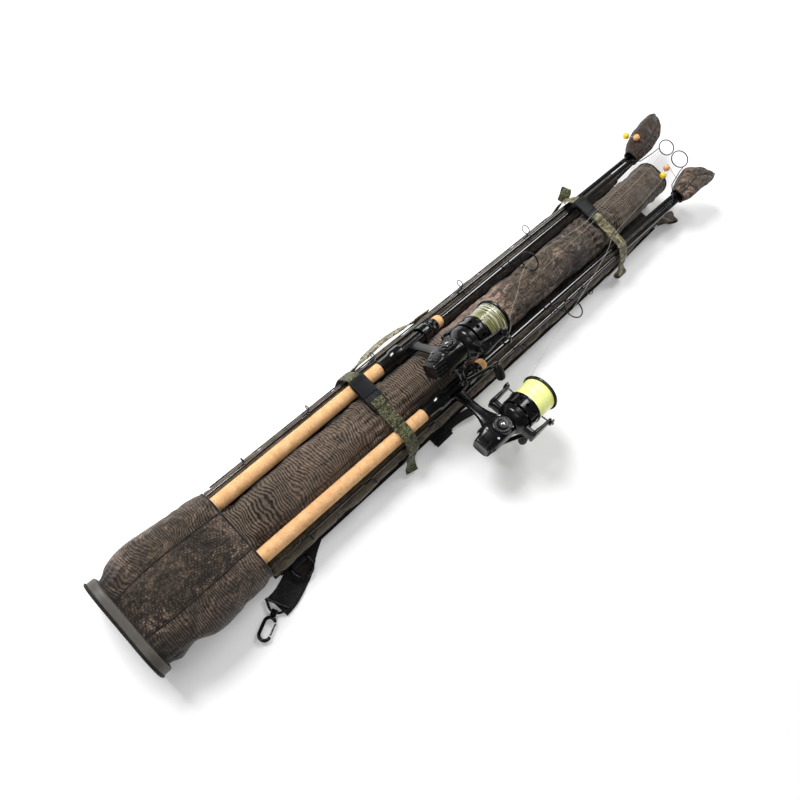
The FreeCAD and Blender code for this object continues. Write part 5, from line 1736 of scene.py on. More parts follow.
# ---- tip hoods ---------------------------------------------------------------
LC = [(1376, 34, 58.0, 82, 10, 66.8), (1386, 41, 57.2, 87, 13, 69.5), (1400, 50, 56.8, 92, 15, 74), (1440, 60, 56.5, 95, 17, 82), (1480, 55, 58.5, 93, 15, 91), (1502, 41, 62, 89, 12, 99), (1512, 30, 64.5, 87, 9, 104), (1518, 18, 67, 85, 6, 107)]
RC = [(1388, 33, 58.2, 81, 9, -66.8), (1398, 40, 57.4, 86, 12, -66.8), (1410, 49, 56.8, 92, 15, -66.2), (1446, 58, 56.5, 95, 17, -62), (1482, 48, 60, 90, 13, -72), (1497, 31, 63.5, 87, 10, -80), (1506, 18, 67, 85, 6, -84)]
for side, sg, secs, mat, body in (("left", 1, LC, M_CUP_L, "left_cup"), ("right", -1, RC, M_CUP_R, "right_cup")):
    nvc = 72
    ncx = 44
    cx = [secs[0][0] + (secs[-1][0] - secs[0][0]) * (i / (ncx - 1.0)) for i in range(ncx)]
    o, xs = shell(side + "_tip_hood", secs, ncx, nvc, mat, caps=(False, True), inset=1.4, xs=cx)
    a = coords(o)
    gx = a[:, 0] * 1000
    pin = np.zeros(len(a))
    pin[gx < secs[0][0] + 4] = 1.0
    jj = np.arange(len(a)) % nvc
    jj[ncx * nvc:] = -99
    topc = column_at(a[: ncx * nvc].reshape(ncx, nvc, 3)[10], secs[0][5])
    seamd = np.abs((jj - topc + nvc / 2) % nvc - nvc / 2) * 2.2
    pin[(seamd < 1.2) & (jj >= 0)] = 0.9
    cloth(o, pin, 5.0, 16, 0.005, -0.03, 0.2, 10)
    a = coords(o)
    nr = normals(o)
    fade = np.clip((gx - secs[0][0] - 4) / 12, 0, 1)
    w = fbm(a, (34, 34, 34), 2.2 + sg) * 0.0020 + fbm(a, (16, 60, 60), 5.2 + sg) * 0.0012
    a += nr * (w * fade)[:, None]
    set_coords(o, a)
    A = a[: ncx * nvc].reshape(ncx, nvc, 3)
    # keep the soft wall off the rod ends
    for s2 in ("left", "right"):
        T, R = TIP_M[s2], ROD_M[s2]
        a = coords(o)
        e = T @ Vector((1.374, 0, 0))
        a = push_off(a, tuple(T @ Vector((1.30, 0, 0))), tuple(e), 0.0054, 0.0054, 0.003)
        a = push_off(a, tuple(R @ Vector((1.3, 0, 0))), tuple(R @ Vector((1.424, 0, 0))), 0.0056, 0.0054, 0.003)
        set_coords(o, a)
    solid(o, 0.0022, -1)
    subsurf(o, 1)
    apply_mods(o)
    done(o, body, "camo_cloth", side + "_tip_cup")
    P = [Vector(A[0, j]) for j in range(nvc)]
    c = sum(P, Vector()) / nvc
    b1 = tube("b", [c + (p - c) * 0.985 for p in P], 0.0016, M_BIND, 8, closed=True)
    seam = [Vector(A[i, topc]) + Vector((0, 0, 0.0006)) for i in range(1, ncx)]
    b2 = tube("b", seam, 0.0011, M_BIND, 8)
    o = join(side + "_tip_hood_piping", [b1, b2])
    done(o, body, "camo_cloth")
    runs = []
    for dj in (2, -2):
        runs.append(([Vector(A[i, (topc + dj) % nvc]) for i in range(2, ncx - 2)], Vector((0, 0, 1))))
    stitches(side + "_tip_hood_stitches", runs, M_THREAD, body, step=0.0032, length=0.0022, r=0.00028)

# elastics: from the sleeve's end up into the hoods
for side, sg, y0, y1, body in (("left", 1, 55, 71, "left_cup"), ("right", -1, -71, -55, "right_cup")):
    ca_, sa_ = math.cos(math.radians(36.5)), math.sin(math.radians(36.5))
    pts = [F(1337.5 + 58 * t * ca_, (y0 + y1) / 2.0, 17.6 + 58 * t * sa_ + 1.6 * math.sin(math.pi * t)) for t in [i / 16.0 for i in range(17)]]
    # the end is sewn flat under the hood's lower lip
    lip_x = 1376.0 if side == "left" else 1388.0
    pts = catmull([pts[0], pts[4], pts[8], pts[12], F(1379.5, (y0 + y1) / 2.0, 49.6), F(lip_x + 9, (y0 + y1) / 2.0, 54.6), F(lip_x + 15, (y0 + y1) / 2.0, 55.6), F(lip_x + 22, (y0 + y1) / 2.0, 55.4)], 5)
    o = ribbon(side + "_tip_elastic", pts, Vector((0, 1, 0)), 0.0158, 0.0019, M_ELASTIC, 9)
    if side == "left":
        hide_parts("tip_elastics")
    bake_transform(o)


# ===========================================================================
# Rods
# ===========================================================================
def knurl(lo, hi, n, depth):
    def f(x, r, a):
        if lo <= x <= hi:
            return 1.0 - depth * (0.5 - 0.5 * math.cos(a * n)) ** 2
        return 1.0
    return f


def lin(x, pts):
    for (xa, ra), (xb, rb) in zip(pts[:-1], pts[1:]):
        if xa <= x <= xb:
            return ra + (rb - ra) * (x - xa) / (xb - xa)
    return pts[-1][1]


for side, sg in (("left", 1), ("right", -1)):
    R = ROD_M[side]
    p = side + "_rod"
    rs = 626.0
    # butt cap: rubber button with stepped face
    prof = [(0, 0), (0, 6.0), (0.7, 6.6), (0.5, 7.4), (0.2, 10.0), (0.9, 11.4), (2.2, 12.6), (3.6, 13.0), (9.4, 13.0), (9.8, 12.6), (10.6, 12.6), (11, 13.0), (12.6, 13.0), (13.0, 12.5), (13.0, 8.4)]
    o = lathe(p + "_cap", prof, M_KNOB, R, 56)
    done(o, "case", "seat", p + "_butt_cap")
    # cork: rings of slightly different radius, each edge a fine groove
    prof = [(13.3, 8.2)]
    base = [(13.3, 12.5), (200, 12.5), (420, 12.1), (547, 11.8)]
    x = 13.3
    step = 12.7
    rng = np.random.RandomState(11 if sg > 0 else 12)
    x = 13.3
    while x < 546.9:
        x2 = min(x + step, 547.0)
        dr = float(rng.uniform(-0.06, 0.0))
        for (xx, off) in ((x + 0.02, -0.16), (x + 0.35, dr), (x + (x2 - x) * 0.33, dr + float(rng.uniform(-0.05, 0.02))),
                          (x + (x2 - x) * 0.66, dr + float(rng.uniform(-0.05, 0.02))), (x2 - 0.35, dr), (x2 - 0.02, -0.16)):
            prof.append((xx, lin(xx, base) + off))
        x = x2
    prof.append((547.0, 8.2))
    rear = lathe("c", prof, M_CORK, R, 56, closed=True)
    fore = lathe("c", [(690.8, 8.2), (690.8, 11.5), (691.2, 11.8), (695, 11.85), (698.4, 11.75), (701, 11.2), (703.4, 10.3), (705, 9.2), (705.2, 8.2)], M_CORK, R, 48, closed=True)
    o = join(p + "_cork_grip", [rear, fore])
    done(o, "case", "cork", p + "_cork")
    # winding check between cork and seat, small dark metal ring
    o = lathe(p + "_trim_rings", [(546.6, 11.2), (546.6, 12.3), (547.6, 12.5), (549.4, 12.5), (549.8, 12.0), (549.8, 11.0)], M_BLACKMET, R, 48, closed=True)
    done(o, "case", "seat")
    # reel seat: barrel with thread, foot trough and fixed hood
    prof = [(549.6, 8.2), (549.6, 12.0), (553, 12.35), (566, 12.3), (571, 12.9), (574, 13.0), (577, 14.4), (580, 15.4), (583, 15.6), (597, 15.6), (599.2, 15.3), (600, 14.7),
            (600, 14.4), (584.2, 14.4), (584.2, 10.5), (rs - 20, 10.5), (rs, 10.4), (rs + 20, 10.5), (rs + 30, 10.5)]
    xx = rs + 31
    while xx < 690.0:
        prof += [(xx, 10.5), (xx + 0.55, 10.15), (xx + 1.0, 10.15), (xx + 1.5, 10.5)]
        xx += 1.6
    prof += [(690.4, 10.4), (690.4, 8.2)]
    o = lathe(p + "_seat_barrel", prof, M_SEAT, R, 64, closed=True)
    done(o, "case", "seat", p + "_reel_seat")
    prof = [(rs + 26, 14.4), (rs + 26, 15.1), (rs + 26.6, 15.6), (rs + 40, 15.6), (rs + 42, 15.3), (rs + 44, 14.2), (rs + 46.4, 13.0), (rs + 47, 12.6), (rs + 47, 10.6), (rs + 40.4, 10.6), (rs + 40.4, 14.4)]
    o = lathe(p + "_moving_hood", prof, M_SEAT, R, 64, closed=True)
    done(o, side + "_hood", "seat", p + "_seat_hood")
    prof = [(rs + 47.3, 10.6), (rs + 47.3, 13.0), (rs + 47.9, 13.4), (rs + 48.5, 13.7), (rs + 49.1, 13.8), (rs + 51.8, 13.8), (rs + 54.4, 13.8), (rs + 55.0, 13.6), (rs + 55.5, 13.2), (rs + 56, 12.6), (rs + 56, 10.6)]
    o = lathe(p + "_lock_nut", prof, M_SEAT, R, 144, closed=True, flute=knurl(rs + 48.3, rs + 55.2, 36, 0.05))
    done(o, side + "_nut", "seat", p + "_seat_nut")

    # butt half blank with thread wraps and the ferrule at its end
    def blank_profile(x0, x1, r0, r1, wraps, n=60):
        out = [(x0, 0)]
        marks = sorted(set([x0 + (x1 - x0) * i / n for i in range(n + 1)] + [w for a_, b_, h_ in wraps for w in (a_ - 0.8, a_, a_ + 1.2, (a_ + b_) / 2, b_ - 1.2, b_, b_ + 0.8)]))
        for x_ in marks:
            if x_ < x0 or x_ > x1:
                continue
            r = r0 + (r1 - r0) * (x_ - x0) / (x1 - x0)
            for a_, b_, h_ in wraps:
                if a_ <= x_ <= b_:
                    t = min((x_ - a_) / 1.2, (b_ - x_) / 1.2, 1.0)
                    r += h_ * math.sqrt(max(t, 0.0))
            out.append((x_, r))
        out.append((x1, 0))
        return out
    wr = [(706, 722, 0.35), (884, 906, 0.4), (1398, 1421, 0.4)]
    o = lathe(p + "_butt_half", blank_profile(8, 1424, 7.6, 5.4, wr), M_BLANK, R, 40)
    bands = []
    for a_, b_, h_ in wr:
        prof = [(a_, 7.0 - 2.2 * a_ / 1424)]
        m = 8
        for i in range(m + 1):
            x_ = a_ + (b_ - a_) * i / m
            r = 7.6 - 2.2 * (x_ - 8) / 1416.0
            t = min((x_ - a_) / 1.5, (b_ - x_) / 1.5, 1.0)
            prof.append((x_, r + h_ * math.sqrt(max(t, 0)) + 0.05))
        prof.append((b_, 6.0 - 2.2 * b_ / 1424))
        bands.append(lathe("w", prof, M_WRAP, R, 36, closed=False))
    ow = join(p + "_butt_wraps", bands)
    done(ow, "case", "blank")
    done(o, "case", "blank", p + "_butt_blank")
    T = TIP_M[side]
    gs = [(948, 9.0), (742, 7.0), (505, 5.5), (352, 4.5), (215, 4.0)]
    wr = [(gx_ - 15, gx_ + 3, 0.28) for gx_, g_ in gs] + [(1340, 1370, 0.35)]
    wr = sorted(wr)
    o = lathe(p + "_tip_half", blank_profile(0, 1374, 1.1, 5.2, wr, 60), M_BLANK, T, 32)
    done(o, "case", "blank", p + "_tip_blank")
    bands = []
    for a_, b_, h_ in wr:
        prof = []
        for i in range(9):
            x_ = a_ + (b_ - a_) * i / 8.0
            r = 1.1 + 4.1 * x_ / 1374.0
            t = min((x_ - a_) / 1.5, (b_ - x_) / 1.5, 1.0)
            prof.append((x_, r + h_ * math.sqrt(max(t, 0)) + 0.05))
        bands.append(lathe("w", [(a_ - 0.1, 0.2)] + prof + [(b_ + 0.1, 0.2)], M_WRAP, T, 28))
    ow = join(p + "_tip_wraps", bands)
    done(ow, "case", "blank")

    # guides
    def ring_at(M, c, rr, wire, parts):
        pts = []
        for k in range(40):
            t = 2 * math.pi * k / 40
            pts.append(M @ Vector((c[0] / 1000.0, (c[1] + rr * math.cos(t)) / 1000.0, (c[2] + rr * math.sin(t)) / 1000.0)))
        parts.append(tube("g", pts, wire / 1000.0, M_BLACKMET, 12, closed=True))
        # inner ceramic sleeve: flatter and slightly narrower
        vs, fs = [], []
        nn_ = 40
        sec = [(-wire * 1.15, -0.25), (-wire * 0.7, -wire * 0.75), (0, -wire * 0.95), (wire * 0.7, -wire * 0.75), (wire * 1.15, -0.25), (0, 0.1)]
        for k in range(nn_):
            t = 2 * math.pi * k / nn_
            for (dx, dr) in sec:
                vs.append(M @ Vector(((c[0] + dx) / 1000.0, (c[1] + (rr + dr) * math.cos(t)) / 1000.0, (c[2] + (rr + dr) * math.sin(t)) / 1000.0)))
        fs = grid_faces(nn_, len(sec), True, True)
        oo = make("gi", vs, fs, M_RDARK)
        fix_normals(oo)
        parts.append(oo)

    def guide(M, x, h, rod_r, rr, wire, lean, off, parts):
        h2 = (h[0], h[1])
        s2 = (-h[1], h[0])
        P = lambda xx, hh, ss: M @ Vector((xx / 1000.0, (h2[0] * hh + s2[0] * ss) / 1000.0, (h2[1] * hh + s2[1] * ss) / 1000.0))
        c = (x + lean, h2[0] * off, h2[1] * off)
        ring_at(M, c, rr, wire, parts)
        fo = rod_r + wire * 0.9 + 0.3
        for s in (-1, 1):
            q = [P(x - 10, fo - 0.5, 0), P(x - 2, fo, 0), P(x + lean * 0.12, fo + 1.2, s * rr * 0.10),
                 P(x + lean * 0.55, (fo + off - rr * 0.6) / 2, s * rr * 0.46), P(x + lean, off - rr * 0.6, s * rr * 0.8)]
            parts.append(tube("g", catmull(q, 5), wire * 0.85 / 1000.0, M_BLACKMET, 9))
        q = [P(x - 14, fo - 0.55, 0), P(x - 8, fo - 0.1, 0), P(x + 2, fo, 0)]
        parts.append(tube("g", catmull(q, 5), wire * 0.9 / 1000.0, M_BLACKMET, 9, radii=None))
    parts = []
    ang = math.radians(132 if sg > 0 else 148)
    rb = 7.6 - 2.2 * (903.0 - 6) / 1418.0
    guide(R, 903.0, (math.cos(ang), math.sin(ang)), rb, 20.0, 1.3, 16, 45.0, parts)
    if sg > 0:
        lg, lc = [(1326, 73.2, 73.8), (1342, 73.0, 73.8), (1358, 60, 80.5), (1371, 45.0, 84.5), (1420, 42.5, 80), (1456, 43.3, 73.7)], (1460, 31.0, 86)
    else:
        lg, lc = [(1330, -73.2, 73.8), (1346, -73.0, 73.8), (1364, -60, 80.5), (1382, -41, 86), (1424, -30.5, 92), (1446, -28, 92)], (1450, -10, 94)
    FM = Matrix.Translation((0, 0, FLOOR))
    ring_at(FM, lc, 17.5 if sg > 0 else 19.0, 1.2, parts)
    parts.append(tube("g", [F(*q) for q in lg], 0.00108, M_BLACKMET, 9))
    for gx_, g_ in gs:
        a_ = math.radians(20 if sg > 0 else 160)
        r = 1.1 + 4.1 * gx_ / 1374.0
        guide(T, gx_, (math.cos(a_), math.sin(a_)), r, g_, 0.8, 4, r + g_ + 3.0, parts)
    o = join(p + "_line_guides", parts)
    done(o, "case", "ring_metal", p + "_guides")


# ===========================================================================
# Reels
# ===========================================================================
def sq_ring(a, cb, hb, cc, hc, e, n=40):
    out = []
    for k in range(n):
        t = 2 * math.pi * k / n
        c, s = math.cos(t), math.sin(t)
        out.append((a, cb + hb * abs(c) ** (2 / e) * (1 if c >= 0 else -1), cc + hc * abs(s) ** (2 / e) * (1 if s >= 0 else -1)))
    return out


def loft_local(name, rings, M, mat, caps=True, smooth_deg=38):
    n = len(rings[0])
    verts = [M @ Vector((p[0] / 1000.0, p[1] / 1000.0, p[2] / 1000.0)) for r in rings for p in r]
    faces = grid_faces(len(rings), n, False, True)
    if caps:
        for base in (0, (len(rings) - 1) * n):
            c = sum((verts[base + j] for j in range(n)), Vector()) / n
            ci = len(verts)
            verts.append(c)
            for j in range(n):
                faces.append((base + j, base + (j + 1) % n, ci))
    o = make(name, verts, faces, mat)
    fix_normals(o)
    auto_smooth(o, smooth_deg)
    return o


def screw(M, a, b, c, axis, r, mat):
    """Small recessed-cross screw head, facing along local Z or Y."""
    if axis == "Z":
        Mx = M @ Matrix.Translation((a / 1000.0, b / 1000.0, c / 1000.0)) @ Matrix.Rotation(math.radians(-90), 4, "Y")
    else:
        Mx = M @ Matrix.Translation((a / 1000.0, b / 1000.0, c / 1000.0)) @ Matrix.Rotation(math.radians(90), 4, "Z")
    return lathe("s", [(-0.6, 0.0), (-0.6, r), (0.5, r), (0.8, r * 0.8), (0.8, r * 0.35), (0.35, r * 0.3), (0.35, 0)], mat, Mx, 18)


for side, sg in (("left", 1), ("right", -1)):
    RM = REEL_M[side]
    AX = RM @ Matrix.Translation((0, 0.112, 0))
    B = 112.0
    p = side + "_reel"
    parts = []
    # foot: curved saddle with tapered ends
    rings = []
    for a_, hb, hc in ((-34, 0.75, 3.6), (-32, 1.0, 4.8), (-26, 1.2, 5.5), (-20, 1.7, 6.0), (-10, 2.3, 6.0), (10, 2.3, 6.0), (20, 1.9, 5.8), (26, 1.2, 5.5), (32, 1.0, 4.6), (34, 0.75, 3.4)):
        rings.append(sq_ring(a_, 10.85 + hb, hb, 0, hc, 3.0, 28))
    parts.append(loft_local("f", rings, RM, M_SHELL))
    # stem: swept, thin in the middle
    rings = []
    for b_, am, ah, ch in ((13, -2.5, 14, 5.0), (17, -2.8, 12.5, 4.4), (26, -3.4, 10.5, 3.9), (42, -4, 9.6, 3.8), (58, -4.2, 10.2, 4.0), (70, -4.4, 12.5, 4.6), (80, -5, 16, 6.4), (88, -6, 20, 9)):
        ring_ = []
        for k in range(32):
            t = 2 * math.pi * k / 32
            c_, s_ = math.cos(t), math.sin(t)
            ring_.append((am + ah * abs(c_) ** (2 / 2.6) * (1 if c_ >= 0 else -1), b_, ch * abs(s_) ** (2 / 2.6) * (1 if s_ >= 0 else -1)))
        rings.append(ring_)
    parts.append(loft_local("f", rings, RM, M_SHELL))
    # gearbox: rounded housing from tail to front flange
    rings = []
    for a_, cb, hb, cc, hc, e in ((-57.2, 110, 11.6, 0, 10.2, 4.0), (-58, 110, 12.6, 0, 11.2, 4.2), (-57.9, 110, 14.2, 0, 12.6, 4.4), (-57.0, 110, 15.2, 0, 13.6, 4.6), (-54, 110, 15.8, 0, 14.2, 4.8), (-46, 110, 16.8, 0, 14.8, 4.8),
                                  (-40, 109.8, 18.2, 0, 15.8, 4.2), (-34, 109.2, 20.8, 0, 17.4, 3.8), (-28, 108.4, 22.4, 0, 18.8, 3.6), (-20, 108, 23.0, 0, 19.0, 3.4),
                                  (-6, 108, 23, 0, 19.6, 3.2), (3, 109, 22.2, 0, 19.4, 2.8), (8, 110.4, 20.8, 0, 19.2, 2.4), (10, 111.4, 20.0, 0, 19.4, 2.1), (12, 112, 19.6, 0, 19.4, 2.0)):
        rings.append(sq_ring(a_, cb, hb, cc, hc, e, 48))
    parts.append(loft_local("f", rings, RM, M_SHELL, True, 45))
    # side cover on each face with a stepped rim
    # lengthwise ridges over the tail
    for cc_ in (-9.5, -3.2, 3.2, 9.5):
        pts = [RM @ Vector((a_ / 1000.0, b_ / 1000.0, cc_ / 1000.0)) for a_, b_ in ((-55.6, 124.6), (-54, 125.9), (-46, 126.8), (-40, 127.8), (-36, 128.6), (-33, 128.4))]
        parts.append(tube("f", catmull(pts, 4), 0.0011, M_SHELL, 8))
    for bb_ in (101.0, 107.0, 113.0, 119.0):
        pts = [RM @ Vector((a_ / 1000.0, bb_ / 1000.0, c_ / 1000.0)) for a_, c_ in ((-55.6, -13.2), (-54, -14.0), (-46, -14.8), (-40, -15.6), (-37, -16.0))]
        parts.append(tube("f", catmull(pts, 4), 0.0009, M_SHELL, 8))
    # proud round cover on the face away from the crank
    Mv = RM @ Matrix.Translation((-0.006, 0.111, 0.0)) @ Matrix.Rotation(math.radians(90), 4, "Y")
    parts.append(lathe("f", [(17.0, 0), (17.0, 17.6), (20.6, 17.4), (21.6, 16.8), (22.0, 16.0), (22.0, 14.9), (20.9, 14.4), (20.9, 10.6), (22.9, 10.0), (23.7, 9.0), (23.9, 7.0), (23.2, 6.4), (23.2, 0)], M_SHELL, Mv, 96,
                       flute=knurl(20.8, 21.0, 12, 0.05)))
    for q_ in range(8):
        an = 2 * math.pi * (q_ + 0.5) / 8
        Mq = Mv @ Matrix.Translation((0, 0.0125 * math.cos(an), 0.0125 * math.sin(an)))
        parts.append(lathe("f", [(20.6, 0), (20.6, 1.7), (21.5, 1.7), (21.9, 1.3), (21.9, 0)], M_RDARK, Mq, 16))
    parts.append(lathe("f", [(23.0, 0), (23.0, 3.4), (23.9, 3.2), (24.2, 2.4), (24.2, 0)], M_SILVER, Mv, 28))
    for s, depth in ((1, 20.6),):
        Mx = RM @ Matrix.Translation((-0.006, 0.111, 0.0)) @ Matrix.Rotation(math.radians(-90 if s > 0 else 90), 4, "Y")
        d = abs(depth)
        parts.append(lathe("f", [(d - 3.4, 0), (d - 3.4, 19.2), (d - 1.5, 19.2), (d - 0.9, 18.6), (d - 0.9, 17.4), (d - 1.4, 17.0), (d - 1.4, 16.2), (d - 0.4, 15.6), (d + 0.0, 14.6), (d + 0.0, 0)], M_SHELL if s > 0 else M_RDARK, Mx, 56))
    # handle boss
    Mb = RM @ Matrix.Translation((-0.004, 0.112, 0)) @ Matrix.Rotation(math.radians(-90), 4, "Y")
    parts.append(lathe("f", [(19, 0), (19, 15.0), (21.5, 15.0), (22.2, 14.4), (24.6, 13.2), (28.4, 12.3), (28.8, 12.9), (30.6, 12.9), (31.4, 12.1), (31.4, 0)], M_SHELL, Mb, 56))
    parts.append(lathe("f", [(28.9, 12.4), (28.9, 13.1), (30.2, 13.1), (30.2, 12.4)], M_RDARK, Mb, 56, closed=True))
    # screw heads on both faces of the housing
    Mc = RM @ Matrix.Translation((-0.004, 0.112, 0)) @ Matrix.Rotation(math.radians(90), 4, "Y")
    for (aa, bb) in ((-30, 97), (-30, 123), (4.5, 96), (4.0, 124)):
        parts.append(screw(RM, aa, bb, -18.4, "Z", 2.1, M_STEEL))
        parts.append(screw(RM, aa, bb, 18.3, "Z", 2.1, M_STEEL))
    # tail cap ring and anti-reverse lever
    Mt = RM @ Matrix.Translation((0, 0.110, 0))
    parts.append(lathe("f", [(-47.6, 12), (-47.6, 17.0), (-47.0, 17.5), (-45.6, 17.6), (-45.0, 17.2), (-45.0, 12)], M_RDARK, Mt, 48, closed=True))
    rings = [sq_ring(a_, 87 - 0.4 + db, hb, 0, hc, 2.6, 20) for a_, db, hb, hc in ((-38, 0.4, 1.2, 3.0), (-34, 0, 2.0, 3.4), (-26, 0, 2.0, 3.0), (-22, 0.4, 1.0, 2.2))]
    parts.append(loft_local("f", rings, RM, M_KNOB))
    # main shaft
    parts.append(lathe("f", [(10, 0), (10, 3.45), (113.4, 3.45), (114, 3.0), (114, 0)], M_STEEL, AX, 24))
    o = join(p + "_housing", parts)
    done(o, "case", "reel_shell", p + "_body")

    # rotor: dish, radial bridges, two swept arms and screws
    parts = []
    prof = [(13.0, 3.6), (13.0, 20.8), (13.6, 21.8), (17, 24.6), (21.5, 28.4), (23.5, 29.6), (26, 30.0), (30, 30.0), (30.4, 29.5), (31.2, 29.5), (31.6, 30.0), (34.4, 30.0), (35, 29.6), (35, 28.2), (35.0, 25.4), (27.0, 25.0), (27.0, 3.6)]
    parts.append(lathe("r", prof, M_SHELL, AX, 72, closed=True))
    for s in (-1, 1):
        rings = []
        # radial bridge
        for b_, a0, a1, hw in ((24.5, 20, 33, 10.0), (30, 19.4, 33.6, 10.0), (38, 19.2, 34, 9.4), (44, 19.4, 34, 9.0), (48.0, 20.4, 34, 8.4), (50.0, 22.6, 33, 7.4)):
            r_ = []
            for k in range(28):
                t = 2 * math.pi * k / 28
                c_, s_ = math.cos(t), math.sin(t)
                r_.append(((a0 + a1) / 2 + (a1 - a0) / 2 * abs(c_) ** 0.6 * (1 if c_ >= 0 else -1), s * b_, hw * abs(s_) ** 0.6 * (1 if s_ >= 0 else -1)))
            rings.append(r_)
        parts.append(loft_local("r", rings, AX, M_SHELL))
        # forward arm
        rings = []
        for a_, b0, b1, hw in ((20.5, 44.0, 49.0, 9.5), (22, 42.6, 49.8, 11.6), (28, 41.0, 50.0, 12.4), (34, 41.6, 50.0, 12.2), (46, 42.6, 50.0, 10.4), (56, 43.4, 50.0, 8.8), (64, 43.8, 50.0, 9.0), (70, 44.0, 50.0, 9.0), (73.4, 44.6, 49.6, 7.0), (74.6, 45.6, 48.8, 4.2)):
            rings.append(sq_ring(a_, s * (b0 + b1) / 2, (b1 - b0) / 2, 0, hw, 3.2, 28))
        parts.append(loft_local("r", rings, AX, M_SHELL))
        # cover screws on the arm
        parts.append(screw(AX, 38, s * 50.0 if s > 0 else -50.0, 0, "Y", 1.7, M_STEEL) if s > 0 else
                     lathe("s", [(-0.4, 0), (-0.4, 1.7), (0.3, 1.7), (0.5, 1.2), (0.5, 0)], M_STEEL,
                           AX @ Matrix.Translation((0.038, -0.050, 0)) @ Matrix.Rotation(math.radians(-90), 4, "Z"), 18))
    o = join(p + "_rotor_frame", parts)
    done(o, side + "_rotor", "reel_dark", p + "_rotor")

    # spool: ported skirt, flange and lip, all in the dark finish
    bm = bmesh.new()
    N = 96
    sk = [38.0, 38.6, 40.5, 42.5, 45.5, 48.5, 51.5, 54.5, 57.0, 59.0]
    outr = [31.5, 32.0, 32.0, 32.0, 32.0, 32.0, 32.0, 32.0, 32.0, 32.2]
    ov, iv = [], []
    for x_, r_ in zip(sk, outr):
        ov.append([bm.verts.new(AX @ Vector((x_ / 1000, r_ / 1000 * math.cos(2 * math.pi * k / N), r_ / 1000 * math.sin(2 * math.pi * k / N)))) for k in range(N)])
        iv.append([bm.verts.new(AX @ Vector((x_ / 1000, (r_ - 2.2) / 1000 * math.cos(2 * math.pi * k / N), (r_ - 2.2) / 1000 * math.sin(2 * math.pi * k / N)))) for k in range(N)])
    hole = {}
    for i in range(len(sk) - 1):
        xm = (sk[i] + sk[i + 1]) / 2
        for k in range(N):
            h_ = (42.5 < xm < 54.5) and (k % 8) in (2, 3, 4) and not ((k % 8) in (2, 4) and not (45.0 < xm < 52.0))
            hole[(i, k)] = h_
    for i in range(len(sk) - 1):
        for k in range(N):
            k2 = (k + 1) % N
            if not hole[(i, k)]:
                bm.faces.new((ov[i][k], ov[i][k2], ov[i + 1][k2], ov[i + 1][k]))
                bm.faces.new((iv[i][k], iv[i + 1][k], iv[i + 1][k2], iv[i][k2]))
            else:
                for (di, dk, e1, e2) in ((-1, 0, (i, k), (i, k2)), (1, 0, (i + 1, k), (i + 1, k2))):
                    if not hole.get((i + di, k), False):
                        bm.faces.new((ov[e1[0]][e1[1]], ov[e2[0]][e2[1]], iv[e2[0]][e2[1]], iv[e1[0]][e1[1]]))
                for kk, kv in ((k - 1, k), (k2, k2)):
                    if not hole.get((i, kk % N), False):
                        bm.faces.new((ov[i][kv], ov[i + 1][kv], iv[i + 1][kv], iv[i][kv]))
    for k in range(N):
        k2 = (k + 1) % N
        bm.faces.new((ov[0][k], iv[0][k], iv[0][k2], ov[0][k2]))
        bm.faces.new((ov[-1][k], ov[-1][k2], iv[-1][k2], iv[-1][k]))
    me = bpy.data.meshes.new("skirt")
    bm.to_mesh(me)
    bm.free()
    skirt = bpy.data.objects.new("skirt", me)
    scene.collection.objects.link(skirt)
    me.materials.append(M_RDARK)
    fix_normals(skirt)
    auto_smooth(skirt, 30)
    core = lathe("c", [(58.6, 3.6), (58.6, 31.6), (59.0, 33.2), (59.4, 33.5), (61.6, 33.5), (62.0, 33.1), (62.0, 22.0), (103.0, 22.0), (103.0, 35.4), (103.4, 35.9)], M_RDARK, AX, 80)
    lip = lathe("l", [(103.0, 30.5), (103.0, 35.7), (103.5, 36.2), (104.4, 36.5), (105.6, 36.4), (106.6, 35.9), (107.4, 34.2), (107.9, 31.0), (108.0, 29.8), (107.2, 29.2)], M_RDARK, AX, 96)
    face = lathe("l", [(107.2, 29.4), (106.6, 28.8), (106.6, 24.0), (107.6, 23.4), (107.6, 19.0), (106.8, 18.4), (106.8, 3.6), (103.0, 3.6)], M_RDARK, AX, 80)
    o = join(p + "_spool_cup", [skirt, core, lip, face])
    done(o, side + "_spool", "reel_dark", p + "_spool")
